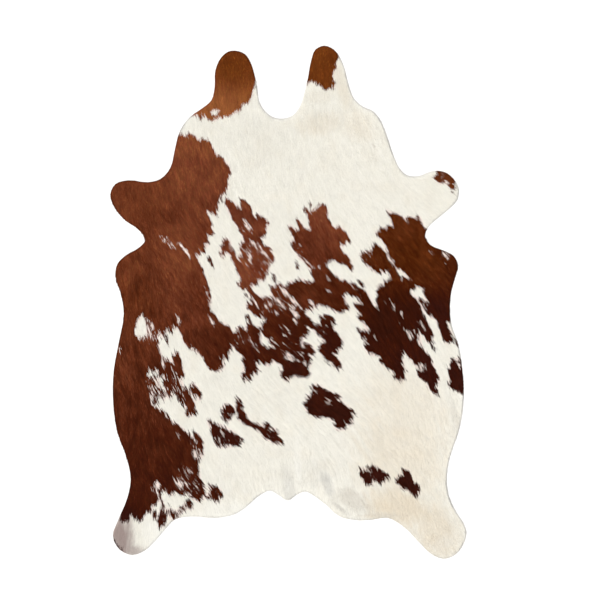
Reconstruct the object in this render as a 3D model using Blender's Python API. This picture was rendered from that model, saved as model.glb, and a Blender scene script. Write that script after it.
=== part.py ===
"""Cutout cowhide rug: one hair-on hide, laid flat with its hair up and its neck towards +Y.

Lengths are in metres unless a name says otherwise. The origin is the middle of the hide's
bounding box, on the floor. The underside is flat. The upper side is the top of the lying hair:
rounded over the cut edge, deepest along the back, and rippled beside the tail.
"""

import math
from collections import namedtuple

import bmesh
import bpy
from mathutils import Vector, noise
from mathutils.geometry import delaunay_2d_cdt, interpolate_bezier
from mathutils.kdtree import KDTree

# Driving sizes
HIDE_LENGTH = 2.157
LEATHER_THICKNESS = 0.002
COAT_DEPTH = 0.004
RIM_COAT_DEPTH = 0.003

# How the coat thins out from the back towards the cut edge, and how unevenly it lies
RIM_FADE_WIDTH = 0.075
LIE_WAVE_LENGTH = 0.16
LIE_WAVE_RISE = 0.0006

# Mesh fineness
SPAN_STEPS = 3
TOP_GRID = 0.050
RIPPLE_GRID = 0.025
UNDERSIDE_GRID = 0.100
GRID_CLEARANCE = 0.6

# The cutting pattern: stations on the hide's edge, clockwise seen from the hair side.
# Columns: x, y in centimetres from the middle of the hide.
PATTERN = {
    "left neck lobe": (
        (-31.0, 90.4), (-30.7, 97.5), (-28.2, 103.0), (-25.3, 105.4), (-22.4, 105.8),
        (-18.2, 104.3), (-16.1, 101.3), (-14.4, 96.3), (-13.1, 90.0),
    ),
    "neck bay": (
        (-12.3, 84.5), (-9.8, 80.3), (-6.4, 77.8), (-2.2, 77.2), (1.6, 78.4), (4.9, 82.4), (7.0, 89.1),
    ),
    "right neck lobe": (
        (8.3, 94.6), (9.6, 101.7), (11.4, 106.3), (15.0, 107.9), (19.2, 106.2), (22.8, 100.5), (25.5, 90.8),
    ),
    "right shoulder": (
        (27.6, 85.6), (31.4, 82.2), (35.6, 80.3), (38.5, 76.8), (41.1, 70.7), (44.3, 61.4), (46.5, 56.6),
    ),
    "right foreleg": (
        (49.9, 53.4), (54.5, 53.0), (59.5, 54.8), (62.6, 55.3), (66.7, 54.3), (70.0, 51.1), (71.7, 47.1),
        (70.9, 42.9), (67.5, 39.2), (62.9, 35.4), (58.7, 31.4), (57.4, 27.4), (59.5, 24.3), (65.4, 21.7),
        (69.6, 19.4), (71.3, 15.6), (70.2, 10.6),
    ),
    "right flank": (
        (68.6, 5.1), (67.9, -2.0), (68.4, -9.1), (71.3, -17.5), (73.0, -27.6), (73.6, -41.1), (71.7, -53.7),
        (67.9, -65.0), (66.5, -73.0), (67.3, -81.0), (70.9, -88.9),
    ),
    "right hind leg": (
        (73.4, -92.5), (74.8, -96.5), (73.8, -101.1), (70.0, -106.2), (65.4, -107.8), (60.8, -106.2),
        (54.5, -100.3), (48.2, -94.0), (41.9, -90.6),
    ),
    "right rump": (
        (34.3, -91.5), (28.0, -91.5), (21.7, -90.0), (15.4, -84.7), (11.2, -81.6), (7.0, -79.5), (3.3, -81.0),
    ),
    "left rump": (
        (-0.1, -83.3), (-3.5, -81.4), (-7.7, -79.1), (-11.9, -81.0), (-18.2, -86.4), (-22.4, -89.0),
        (-30.8, -90.6), (-41.3, -90.0), (-47.6, -91.2),
    ),
    "left hind leg": (
        (-51.8, -95.4), (-56.0, -100.3), (-60.2, -104.2), (-65.6, -106.2), (-70.7, -104.1), (-73.8, -98.2),
        (-71.7, -91.9), (-67.7, -82.2), (-66.3, -74.7), (-67.7, -66.3),
    ),
    "left flank": (
        (-71.9, -54.5), (-73.8, -39.0), (-73.4, -28.5), (-71.1, -15.9), (-69.2, -4.9), (-70.2, 3.0),
    ),
    "left foreleg": (
        (-72.8, 11.4), (-71.9, 16.1), (-68.6, 19.6), (-62.3, 23.4), (-60.2, 26.0), (-62.3, 29.9),
        (-68.6, 34.5), (-73.2, 40.0), (-74.9, 45.3), (-72.8, 49.7), (-67.5, 51.3), (-58.9, 50.5),
        (-53.9, 51.8), (-49.7, 56.4),
    ),
    "left shoulder": (
        (-47.8, 63.9), (-45.5, 72.3), (-41.3, 78.0), (-36.2, 81.6), (-32.4, 84.9),
    ),
}

# The rim's section, from the cut edge on the floor up over the hair.
# Columns: inset from the outline, height.
RIM_SECTION = (
    (0.0012, 0.0),
    (0.0000, LEATHER_THICKNESS),
    (0.0018, LEATHER_THICKNESS + 0.6 * RIM_COAT_DEPTH),
    (0.0070, LEATHER_THICKNESS + RIM_COAT_DEPTH),
)

# Soft ridges and hollows of the upper side. The heading is the way the ridge runs, in degrees
# from +X. x, y, length and width are in centimetres, the rise is in millimetres.
Swell = namedtuple("Swell", "x y length width heading rise")
SWELLS = {
    "spine": Swell(2, 8, 150, 16, 92, 0.9),
    "left tail ridge": Swell(-8, -72, 22, 9, 96, 1.7),
    "tail hollow": Swell(0, -77, 20, 8, 90, -1.8),
    "right tail ridge": Swell(8, -70, 32, 10, 96, 2.0),
    "rump hollow": Swell(17, -77, 24, 10, 78, -2.0),
    "rump ridge": Swell(23, -78, 26, 8, 70, 1.4),
    "thigh hollow": Swell(30, -83, 26, 10, 60, -1.4),
    "left thigh ridge": Swell(-20, -79, 24, 10, 118, 1.2),
    "left elbow pucker": Swell(-55, 26, 16, 7, 10, 1.6),
    "right elbow pucker": Swell(52, 29, 16, 7, 172, 1.6),
    "throat pucker": Swell(-2, 70, 14, 8, 90, 1.3),
}

COAT_COLOUR = (0.80, 0.74, 0.64, 1.0)
COAT_ROUGHNESS = 0.6


def clear_scene():
    """Removes every object of the open scene."""
    for item in list(bpy.data.objects):
        bpy.data.objects.remove(item, do_unlink=True)


def smooth_outline():
    """A smooth closed curve through the pattern's stations, to size and centred on the origin."""
    stations = [Vector(station) for stretch in PATTERN.values() for station in stretch]
    points = []
    for index, start in enumerate(stations):
        before = stations[index - 1]
        end = stations[(index + 1) % len(stations)]
        after = stations[(index + 2) % len(stations)]
        span = (end - start).length
        leave = direction_at(before, start, end)
        arrive = direction_at(start, end, after)
        curve = interpolate_bezier(
            start, start + leave * span / 3, end - arrive * span / 3, end, SPAN_STEPS + 1
        )
        points += [Vector((point.x, point.y)) for point in curve[:-1]]
    low = Vector((min(p.x for p in points), min(p.y for p in points)))
    high = Vector((max(p.x for p in points), max(p.y for p in points)))
    scale = HIDE_LENGTH / (high.y - low.y)
    return [(point - (low + high) / 2) * scale for point in points]


def direction_at(before, here, after):
    """The curve's direction at a station, swayed most by the nearer of its neighbours."""
    arriving = here - before
    leaving = after - here
    near, far = arriving.length, leaving.length
    return (arriving / near * far + leaving / far * near) / (near + far)


def inset_ring(outline, inset):
    """The outline moved inwards by the inset. A clockwise outline has its inside on the right."""
    ring = []
    for index, point in enumerate(outline):
        along = outline[(index + 1) % len(outline)] - outline[index - 1]
        inwards = Vector((along.y, -along.x)).normalized()
        ring.append(point + inwards * inset)
    return ring


def swell_rise(point):
    """How far the ridges and hollows lift the coat at a point, in metres."""
    total = 0.0
    for swell in SWELLS.values():
        offset = point - Vector((swell.x, swell.y)) / 100
        heading = math.radians(swell.heading)
        along = offset.x * math.cos(heading) + offset.y * math.sin(heading)
        across = offset.y * math.cos(heading) - offset.x * math.sin(heading)
        reach = math.hypot(along / (swell.length / 200), across / (swell.width / 200))
        if reach < 1:
            total += swell.rise / 1000 * (1 + math.cos(math.pi * reach)) / 2
    return total


def coat_height(point, rim_distance):
    """The height of the hair's top: low at the rim, full over the back, uneven all over."""
    share = min(1.0, rim_distance / RIM_FADE_WIDTH)
    share = share * share * (3 - 2 * share)
    depth = RIM_COAT_DEPTH + (COAT_DEPTH - RIM_COAT_DEPTH) * share
    wave = noise.noise(Vector((point.x, point.y, 0)) / LIE_WAVE_LENGTH) * LIE_WAVE_RISE * share
    return LEATHER_THICKNESS + depth + wave + swell_rise(point)


def is_inside(point, ring):
    """Whether a point lies inside a closed ring, by counting the edges to its right."""
    inside = False
    for index, end in enumerate(ring):
        start = ring[index - 1]
        if (start.y > point.y) != (end.y > point.y):
            crossing = start.x + (point.y - start.y) / (end.y - start.y) * (end.x - start.x)
            inside ^= point.x < crossing
    return inside


def grid_points(ring, nearest_rim, step, is_wanted):
    """Points of a staggered grid that are inside the ring and clear of it."""
    row_step = step * math.sqrt(3) / 2
    rows = math.ceil(HIDE_LENGTH / 2 / row_step)
    points = []
    for row in range(-rows, rows + 1):
        for column in range(-rows, rows + 1):
            point = Vector(((column + row % 2 / 2) * step, row * row_step))
            clear = nearest_rim.find(point.to_3d())[2] > step * GRID_CLEARANCE
            if clear and is_wanted(point) and is_inside(point, ring):
                points.append(point)
    return points


def fill_ring(ring, inner_points):
    """Triangles, as index triples, that fill a ring by way of the points inside it."""
    edges = [(index, (index + 1) % len(ring)) for index in range(len(ring))]
    vertices, _, faces, sources, _, _ = delaunay_2d_cdt(ring + inner_points, edges, [], 1, 1e-7)
    first_source = [source[0] for source in sources]
    return [[first_source[corner] for corner in face] for face in faces]


def build_hide_mesh():
    """The closed mesh of the hide, from its underside up over the rim to the top of the coat."""
    outline = smooth_outline()
    nearest_rim = KDTree(len(outline))
    for index, point in enumerate(outline):
        nearest_rim.insert(point.to_3d(), index)
    nearest_rim.balance()

    shape = bmesh.new()
    rings = []
    for inset, height in RIM_SECTION:
        flat_ring = inset_ring(outline, inset)
        is_top = (inset, height) == RIM_SECTION[-1]
        heights = [coat_height(point, 0.0) if is_top else height for point in flat_ring]
        rings.append([shape.verts.new((p.x, p.y, z)) for p, z in zip(flat_ring, heights)])
    for lower, upper in zip(rings, rings[1:]):
        for index in range(len(lower)):
            following = (index + 1) % len(lower)
            shape.faces.new((lower[index], lower[following], upper[following], upper[index]))

    def is_rippled(point):
        return abs(swell_rise(point)) > 0

    top_ring = inset_ring(outline, RIM_SECTION[-1][0])
    top_points = grid_points(top_ring, nearest_rim, RIPPLE_GRID, is_rippled)
    top_points += grid_points(top_ring, nearest_rim, TOP_GRID, lambda point: not is_rippled(point))
    top_vertices = list(rings[-1])
    for point in top_points:
        rim_distance = nearest_rim.find(point.to_3d())[2]
        top_vertices.append(shape.verts.new((point.x, point.y, coat_height(point, rim_distance))))
    for triangle in fill_ring(top_ring, top_points):
        shape.faces.new([top_vertices[corner] for corner in triangle])

    under_ring = inset_ring(outline, RIM_SECTION[0][0])
    under_points = grid_points(under_ring, nearest_rim, UNDERSIDE_GRID, lambda point: True)
    under_vertices = list(rings[0]) + [shape.verts.new((p.x, p.y, 0.0)) for p in under_points]
    for triangle in fill_ring(under_ring, under_points):
        shape.faces.new([under_vertices[corner] for corner in reversed(triangle)])

    bmesh.ops.triangulate(shape, faces=shape.faces[:])
    bmesh.ops.recalc_face_normals(shape, faces=shape.faces[:])
    mesh = bpy.data.meshes.new("hide")
    shape.to_mesh(mesh)
    shape.free()
    return mesh


def coat_material():
    """Short lying cow hair: pale, dull and a little silky."""
    material = bpy.data.materials.new("hair-on cowhide")
    material.use_nodes = True
    surface = material.node_tree.nodes["Principled BSDF"]
    surface.inputs["Base Color"].default_value = COAT_COLOUR
    surface.inputs["Roughness"].default_value = COAT_ROUGHNESS
    surface.inputs["Metallic"].default_value = 0.0
    return material


def build_hide():
    """The one cut hide, lying on the floor."""
    mesh = build_hide_mesh()
    mesh.shade_smooth()
    mesh.set_sharp_from_angle(angle=math.radians(50))
    mesh.materials.append(coat_material())
    hide = bpy.data.objects.new("hide", mesh)
    bpy.context.scene.collection.objects.link(hide)
    return hide


def main():
    clear_scene()
    build_hide()


main()
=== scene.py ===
"""Looks of the cutout cowhide rug: its tanned skin, its coat of lying hair, and the stage.

Lengths are in metres unless a name says otherwise. The plain hide comes from the frame. Its skin
is a thin sheet under the hair, and its coat is many thousands of small locks that lie along the
hair's own direction and overlap like shingles, neck to tail. Each lock takes its colour from the
patch that it grows in, so the patches' edges comb out into streaks as on a real hide.
"""

import math
from collections import namedtuple
from functools import cache

import bmesh
import bpy
import numpy as np
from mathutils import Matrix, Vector
from mathutils.bvhtree import BVHTree
from mathutils.geometry import delaunay_2d_cdt


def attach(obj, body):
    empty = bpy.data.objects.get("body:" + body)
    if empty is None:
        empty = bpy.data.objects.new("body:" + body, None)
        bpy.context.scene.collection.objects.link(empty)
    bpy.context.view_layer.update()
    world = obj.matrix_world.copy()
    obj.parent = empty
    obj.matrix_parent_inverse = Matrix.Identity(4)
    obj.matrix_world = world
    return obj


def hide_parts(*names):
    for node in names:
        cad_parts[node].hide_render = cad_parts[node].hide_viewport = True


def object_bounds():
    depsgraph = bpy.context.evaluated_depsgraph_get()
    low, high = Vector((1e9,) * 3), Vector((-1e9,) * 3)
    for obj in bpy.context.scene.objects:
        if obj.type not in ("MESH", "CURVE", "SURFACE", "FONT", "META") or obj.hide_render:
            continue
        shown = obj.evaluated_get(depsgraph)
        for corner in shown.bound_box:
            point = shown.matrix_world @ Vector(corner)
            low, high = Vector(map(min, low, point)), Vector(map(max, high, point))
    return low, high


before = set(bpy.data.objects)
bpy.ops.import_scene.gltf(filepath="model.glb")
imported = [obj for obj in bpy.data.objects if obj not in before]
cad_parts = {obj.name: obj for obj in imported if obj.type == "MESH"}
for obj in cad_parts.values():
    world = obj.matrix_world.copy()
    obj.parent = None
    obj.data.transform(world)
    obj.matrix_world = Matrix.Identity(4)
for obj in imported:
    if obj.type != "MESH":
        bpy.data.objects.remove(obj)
CAD_LOW, CAD_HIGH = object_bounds()

bl_info = {
    "name": "Cutout cowhide rug",
    "version": (1, 0, 0),
    "blender": (4, 5, 0),
    "location": "3D Viewport > Sidebar > Hide",
    "description": "Dresses the plain hide in skin and lying hair, and sets its stage",
    "category": "Object",
}

HIDE_NODE = "hide"

# The plain hide's lower left corner and its width and length, seen from above
HIDE_LOW = np.array(CAD_LOW[:2])
HIDE_SIZE = np.array(CAD_HIGH[:2]) - HIDE_LOW

# Where the hide reaches in the photograph, in its pixels. Every place read from it goes through
# from_photo, which turns pixels into metres on the frame's hide.
PHOTO_LEFT = 110.0
PHOTO_TOP = 45.5
PHOTO_BOTTOM = 559.0
PHOTO_SIZE = 600
PIXEL = HIDE_SIZE[1] / (PHOTO_BOTTOM - PHOTO_TOP)

# Places read from the photograph: x to the right and y down, in its pixels.
# Pigmented patches, each by its edge. Where a patch runs off the hide its edge is drawn outside.
PATCHES = {
    "left neck lobe": (
        (257, 80), (253, 88), (252, 94), (249, 102), (241, 105), (240, 111), (231, 115), (222, 117),
        (214, 121), (207, 118), (203, 116), (198, 116), (193, 116), (189, 112), (200, 75), (212, 40),
        (240, 38), (262, 62),
    ),
    "right neck lobe": (
        (305, 86), (296, 60), (312, 36), (338, 40), (339, 55), (335, 63), (337, 67), (332, 76),
        (335, 83), (334, 88), (328, 89), (322, 88), (320, 85), (315, 82), (310, 81), (307, 85),
    ),
    "right foreleg": (
        (433, 177), (438, 175), (436, 170), (442, 165), (452, 166), (460, 178), (454, 183), (455, 188),
        (454, 190), (450, 188), (447, 184), (444, 183), (440, 184), (437, 181),
    ),
    "left side": (
        (178, 134), (184, 136), (190, 134), (196, 137), (199, 140), (208, 140), (212, 146), (213, 151),
        (218, 155), (225, 161), (229, 166), (231, 172), (227, 180), (228, 186), (226, 192), (219, 200),
        (217, 210), (217, 217), (206, 210), (211, 222), (213, 233), (208, 236), (208, 241), (209, 245),
        (202, 252), (197, 258), (203, 270), (206, 280), (210, 292), (211, 302), (209, 307), (210, 312),
        (213, 313), (217, 318), (220, 324), (224, 323), (229, 326), (233, 332), (236, 334), (237, 327),
        (241, 327), (246, 330), (256, 345), (243, 356), (236, 350), (233, 345), (231, 350), (227, 358),
        (222, 361), (225, 366), (223, 369), (218, 372), (210, 370), (206, 365), (203, 357), (199, 354),
        (191, 349), (186, 346), (183, 341), (181, 333), (177, 329), (172, 328), (171, 333), (169, 331),
        (165, 332), (164, 339), (162, 337), (160, 334), (158, 336), (158, 341), (160, 352), (163, 358),
        (169, 359), (171, 366), (166, 372), (161, 376), (158, 379), (152, 380), (150, 386), (151, 394),
        (151, 400), (152, 405), (156, 408), (160, 409), (165, 414), (172, 421), (177, 424), (182, 428),
        (187, 433), (193, 437), (196, 437), (194, 432), (198, 433), (200, 437), (204, 444), (202, 447),
        (204, 454), (200, 460), (198, 464), (200, 477), (201, 484), (205, 486), (205, 492), (204, 498),
        (200, 502), (196, 501), (191, 498), (190, 494), (186, 494), (182, 496), (178, 493), (174, 492),
        (171, 496), (167, 494), (166, 491), (162, 491), (160, 494), (160, 499), (156, 504), (152, 508),
        (152, 513), (148, 512), (146, 513), (143, 519), (139, 521), (133, 517), (129, 513), (130, 521),
        (124, 523), (117, 520), (98, 518), (98, 170), (160, 130),
    ),
    "left belly fleck": (
        (151, 380), (158, 379), (160, 385), (163, 392), (166, 398), (163, 400), (159, 395), (157, 399),
        (157, 405), (154, 404), (153, 396), (151, 388),
    ),
    "left island": (
        (175, 352), (178, 352), (180, 358), (183, 370), (185, 376), (181, 377), (183, 385), (187, 389),
        (190, 396), (196, 403), (194, 407), (196, 411), (195, 415), (187, 417), (184, 413), (187, 410),
        (184, 406), (180, 403), (177, 398), (175, 392), (173, 391), (172, 396), (170, 399), (166, 397),
        (165, 393), (166, 390), (163, 384), (165, 379), (161, 376), (159, 371), (164, 366), (165, 360),
        (169, 359), (172, 365), (172, 357),
    ),
    "left tuft": (
        (192, 382), (195, 384), (200, 391), (201, 397), (200, 401), (194, 396), (189, 392), (190, 387),
    ),
    "rib patch": (
        (226, 197), (229, 200), (233, 202), (239, 207), (242, 210), (241, 200), (245, 201), (251, 207),
        (252, 213), (256, 219), (257, 214), (261, 216), (265, 219), (270, 223), (267, 226), (266, 233),
        (261, 240), (261, 244), (266, 246), (270, 247), (272, 252), (274, 258), (274, 262), (271, 262),
        (269, 265), (269, 268), (267, 273), (265, 280), (259, 281), (256, 285), (251, 287), (244, 290),
        (240, 288), (237, 283), (241, 282), (241, 278), (238, 273), (237, 269), (240, 262), (240, 250),
        (240, 245), (244, 241), (241, 233), (236, 225), (232, 219), (228, 210), (225, 205),
    ),
    "rib finger": (
        (223, 239), (227, 238), (230, 241), (231, 246), (234, 252), (237, 258), (239, 264), (239, 270),
        (236, 267), (231, 258), (228, 253), (225, 254), (223, 259), (220, 256), (221, 249),
    ),
    "withers patch": (
        (288, 228), (289, 225), (291, 225), (294, 229), (300, 230), (296, 219), (298, 219), (304, 227),
        (309, 231), (310, 224), (307, 213), (304, 208), (306, 207), (310, 213), (313, 209), (319, 207),
        (321, 204), (325, 205), (328, 211), (327, 218), (334, 227), (337, 229), (337, 224), (345, 231),
        (349, 237), (350, 241), (345, 242), (347, 246), (341, 245), (342, 251), (348, 256), (351, 262),
        (354, 270), (350, 269), (345, 264), (340, 262), (333, 260), (326, 262), (327, 268), (331, 272),
        (334, 276), (338, 276), (336, 290), (312, 290), (314, 279), (311, 270), (307, 264), (300, 259),
        (297, 254), (293, 249), (291, 242), (294, 238), (291, 232),
    ),
    "saddle patch": (
        (247, 287), (250, 287), (253, 292), (257, 294), (261, 298), (266, 296), (269, 297), (273, 300),
        (271, 291), (271, 287), (276, 286), (279, 283), (284, 286), (288, 287), (289, 282), (292, 281),
        (296, 283), (300, 279), (304, 280), (308, 282), (313, 281), (336, 275), (340, 281), (344, 279),
        (349, 284), (354, 283), (359, 289), (366, 291), (369, 296), (372, 302), (375, 309), (378, 312),
        (361, 314), (357, 309), (354, 304), (350, 308), (345, 311), (341, 312), (336, 312), (331, 309),
        (327, 306), (322, 305), (317, 306), (314, 308), (312, 310), (304, 311), (306, 315), (309, 317),
        (312, 322), (316, 326), (319, 329), (316, 332), (311, 328), (305, 324), (306, 327), (309, 331),
        (308, 335), (305, 338), (302, 340), (304, 343), (308, 343), (312, 346), (315, 350), (314, 354),
        (310, 357), (311, 362), (310, 367), (306, 369), (311, 374), (309, 377), (304, 378), (298, 377),
        (290, 377), (289, 381), (285, 381), (280, 375), (280, 371), (284, 370), (281, 365), (277, 363),
        (273, 361), (271, 365), (268, 366), (263, 364), (261, 361), (257, 363), (256, 367), (260, 370),
        (257, 373), (251, 374), (250, 380), (245, 381), (241, 378), (242, 373), (244, 369), (242, 361),
        (243, 357), (238, 345), (237, 330), (246, 330), (247, 324), (250, 323), (254, 326), (259, 328),
        (262, 325), (265, 321), (267, 320), (262, 317), (256, 315), (251, 312), (246, 308), (246, 304),
        (250, 303), (254, 308), (252, 302), (250, 295),
    ),
    "saddle island": (
        (322, 316), (325, 314), (329, 316), (335, 319), (334, 323), (331, 326), (334, 329), (338, 336),
        (342, 339), (342, 343), (340, 350), (337, 353), (334, 355), (337, 358), (340, 361), (342, 367),
        (339, 370), (335, 368), (332, 363), (328, 361), (325, 357), (320, 353), (319, 350), (320, 344),
        (324, 343), (323, 338), (318, 336), (315, 332), (318, 328), (316, 326), (320, 325), (321, 320),
    ),
    "right side": (
        (385, 208), (390, 212), (395, 213), (400, 215), (404, 218), (407, 218), (408, 216), (412, 217),
        (416, 219), (418, 215), (421, 219), (424, 227), (428, 230), (440, 228), (474, 250), (474, 312),
        (462, 322), (447, 321), (447, 325), (450, 329), (452, 334), (452, 341), (448, 344), (445, 342),
        (441, 334), (438, 325), (436, 319), (431, 318), (425, 311), (421, 307), (422, 312), (425, 317),
        (430, 327), (433, 333), (433, 340), (431, 344), (426, 342), (423, 334), (419, 329), (419, 332),
        (422, 345), (424, 350), (431, 358), (434, 366), (436, 373), (440, 382), (435, 385), (438, 391),
        (436, 396), (431, 391), (425, 381), (417, 375), (417, 372), (422, 370), (416, 367), (412, 361),
        (406, 354), (402, 351), (402, 358), (405, 370), (403, 373), (405, 377), (402, 382), (397, 381),
        (393, 376), (394, 372), (391, 370), (385, 367), (380, 363), (381, 358), (377, 355), (370, 355),
        (366, 351), (364, 345), (368, 341), (362, 339), (359, 329), (364, 330), (367, 329), (362, 322),
        (357, 318), (362, 315), (357, 309), (353, 303), (360, 304), (375, 309), (377, 303), (378, 297),
        (377, 292), (378, 287), (383, 283), (391, 280), (390, 274), (393, 271), (395, 267), (390, 256),
        (386, 247), (381, 239), (375, 233), (380, 230), (390, 226), (393, 224), (390, 216),
    ),
    "shoulder spur": (
        (360, 254), (365, 252), (371, 251), (375, 244), (379, 246), (384, 250), (389, 256), (393, 263),
        (396, 270), (399, 279), (388, 271), (381, 273), (376, 272), (371, 269), (367, 266), (362, 259),
    ),
    "right rim": (
        (451, 360), (457, 359), (472, 357), (474, 396), (463, 394), (457, 391), (453, 388), (448, 386),
        (450, 381), (449, 370), (450, 366),
    ),
    "thigh fleck": (
        (222, 406), (227, 403), (231, 406), (235, 409), (235, 413), (232, 416), (230, 420), (226, 422),
        (222, 419), (222, 413),
    ),
    "loin streak": (
        (237, 398), (240, 399), (242, 406), (242, 410), (247, 414), (247, 418), (251, 422), (258, 425),
        (262, 426), (264, 423), (269, 425), (270, 428), (276, 429), (277, 434), (282, 441), (283, 444),
        (275, 444), (270, 441), (263, 438), (263, 434), (258, 431), (251, 426.5), (244, 424), (240, 421),
        (237, 417), (239, 413), (236, 410), (236, 403),
    ),
    "thigh spot": (
        (207, 421), (209, 419), (213, 423), (216, 425), (221, 425), (225, 427), (231, 431), (236, 434),
        (243, 440), (240, 444), (230, 447), (219, 448), (214, 443), (215, 439), (211, 434), (210, 427),
    ),
    "loin spot": (
        (312, 386), (316, 384), (320, 386), (325, 389), (331, 392), (336, 394), (341, 396), (340, 401),
        (345, 404), (350, 408), (354, 413), (352, 418), (352, 425), (346, 425), (345, 430), (336, 430),
        (334, 426), (336, 421), (328, 419), (325, 416), (320, 418), (313, 416), (307, 412), (304, 406),
        (306, 400), (309, 396), (314, 392),
    ),
    "rump spot, left": (
        (360, 469), (366, 469), (370, 467), (374, 466), (378, 467), (382, 472), (387, 474), (390, 477),
        (386, 481), (382, 484), (378, 482), (374, 481), (372, 485), (368, 486), (364, 482), (361, 478),
    ),
    "rump spot, right": (
        (403, 470), (408, 469), (411, 474), (412, 479), (415, 484), (420, 487), (420, 493), (417, 496),
        (412, 495), (407, 490), (401, 488), (396, 483), (396, 478), (400, 475),
    ),
    "hock spot": (
        (209, 485), (213, 486), (221, 490), (222, 495), (219, 502), (215, 502), (212, 498), (205, 499),
        (204, 494), (209, 494),
    ),
    "hock strand": (
        (160, 496), (162, 500), (164, 505), (166, 512), (166, 522), (163, 528), (158, 528), (157, 521),
        (159, 515), (160, 509), (163, 508), (160, 500),
    ),
    "hock flecks": (
        (167, 510), (171, 508), (174, 512), (178, 510), (183, 505), (188, 500), (191, 502), (193, 510),
        (187, 509), (181, 513), (177, 519), (172, 520), (168, 516),
    ),
    # The hock rim is painted shade: the thin dark line along the left hock's cut edge, drawn as a patch
    "hock rim": (
        (113.4, 539), (115.4, 543.4), (118.4, 547.2), (123.4, 550.8), (121, 556), (113, 551), (109, 543),
        (109.5, 539),
    ),
    "hock tuft": ((152, 513), (156, 512), (157, 519), (153, 520)),
}

# Ivory gaps inside the patches, each by its edge
GAPS = {
    "neck": ((211, 112), (214, 110), (220, 111), (219, 114), (215, 117), (211, 116)),
    "left flank": (
        (142, 309), (141, 316), (137, 322), (134, 329), (134, 334), (138, 338), (144, 337), (147, 338),
        (147, 331), (146, 323), (144, 316),
    ),
    "left belly": (
        (146, 374), (149, 370), (153, 371), (155, 373), (157, 370), (159, 374), (158, 378), (153, 378),
        (147, 377),
    ),
    "saddle": (
        (343, 295), (347, 291), (349, 294), (354, 296), (361, 300), (360, 303), (354, 303), (355, 308),
        (350, 309), (347, 304), (345, 298),
    ),
    "saddle band": (
        (260, 335), (263, 334), (266, 338), (270, 342), (273, 347), (269, 348), (265, 347), (261, 343),
    ),
    "right side": (
        (408, 292), (412, 290), (416, 287), (421, 286), (424, 292), (425, 298), (429, 303), (424, 301),
        (420, 299), (415, 297),
    ),
    "right shoulder": (
        (396, 269), (401, 270), (406, 274), (413, 280), (404, 276), (402, 281), (399, 276),
    ),
}

# Streaks along the lie of the hair: middle x and y, length and width. Their share is how much of
# the hair in their middle they turn, pale in pigmented hair and dark in ivory hair.
Streak = namedtuple("Streak", "x y length width share")
PALE_STREAKS = [
    Streak(*row)
    for row in (
        (163, 240, 7, 2, 0.5), (169, 243, 10, 2.5, 0.6), (173, 245, 9, 2, 0.6),
        (180, 245, 10, 2.5, 0.7), (183, 248, 14, 2.5, 0.8), (187, 252, 11, 2.5, 0.7),
        (120, 350, 12, 3, 0.7), (152, 326, 9, 2.5, 0.9), (150, 334, 14, 3, 0.7), (155, 337, 9, 2, 0.5),
        (179, 320, 9, 2.5, 0.9), (163, 362, 11, 3, 0.9), (211, 320, 13, 2.5, 0.8),
        (182, 383, 14, 4, 1.0), (196, 453, 11, 8, 0.5), (189, 473, 9, 3, 0.6), (181, 484, 13, 3, 0.8),
        (187, 486, 10, 2.5, 0.6), (177, 484, 12, 3, 0.6), (157, 485, 9, 4, 1.0), (157, 494, 9, 3, 0.5),
        (178, 435, 7, 5, 0.4), (238, 205, 8, 2.5, 0.9), (247, 225, 16, 3.5, 1.0),
        (236, 249, 22, 3.5, 1.0), (253, 244, 12, 3, 1.0), (263, 252, 18, 3, 1.0),
        (249, 257, 10, 5, 0.8), (264, 262, 8, 2.5, 0.7), (231, 250, 9, 2, 0.4), (299, 244, 10, 2, 0.4),
        (309, 228, 9, 3, 0.9), (309, 269, 9, 2.5, 0.7), (255, 302, 16, 3, 0.9), (255, 346, 19, 2, 0.9),
        (260, 331, 14, 2, 0.7), (266, 305, 8, 2.5, 0.8), (270, 304, 7, 2, 0.7), (275, 299, 14, 3, 1.0),
        (276, 313, 7, 3, 0.8), (284, 308, 8, 3, 0.7), (286, 293, 13, 6, 1.0), (296, 303, 19, 3.5, 1.0),
        (290, 305, 12, 2.5, 0.8), (281, 303, 11, 2.5, 0.8), (295, 314, 9, 5.5, 1.0),
        (295, 321, 6, 3, 0.5), (287, 328, 7, 4, 0.4), (285, 334, 9, 4, 0.3), (273, 341, 7, 2.5, 0.7),
        (284, 343, 8, 2, 0.3), (289, 357, 10, 8, 0.8), (296, 359, 8, 3, 0.7), (304, 362, 7, 3, 0.8),
        (303, 345, 7, 6, 0.8), (301, 354, 6, 4, 0.5), (329, 291, 8, 2, 0.7), (312, 303, 11, 3.5, 1.0),
        (327, 277, 7, 2.5, 0.6), (320, 266, 6, 2, 0.5), (321, 336, 8, 3, 0.6), (328, 327, 4, 2.5, 0.5),
        (323, 341, 6, 4, 0.6), (405, 219, 10, 2.5, 0.9), (390, 259, 20, 2.2, 1.0),
        (385, 303, 8, 2, 0.7), (393, 306, 13, 2.5, 0.9), (402, 313, 8, 2, 0.7), (410, 335, 13, 3, 0.7),
        (420, 304, 13, 2.5, 0.8), (422, 325, 9, 2.5, 0.9), (414, 331, 8, 4, 0.4), (404, 329, 8, 3, 0.5),
        (387, 335, 7, 3, 0.4), (376, 338, 8, 2, 0.3), (446, 256, 9, 2.5, 0.5), (445, 262, 6, 3, 0.5),
        (431, 252, 8, 3, 0.7), (426, 314, 16, 4, 1.0), (366, 328, 13, 4, 1.0), (421, 342, 22, 4, 1.0),
        (423, 368, 8, 7, 0.7), (449, 325, 7, 4, 1.0), (458, 364, 8, 3, 1.0), (447, 182, 8, 2.5, 0.9),
        (223, 435, 10, 3, 0.6), (219, 441, 6, 3, 0.7), (328, 402, 5, 4, 1.0), (340, 400, 6, 3, 0.8),
    )
]
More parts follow.
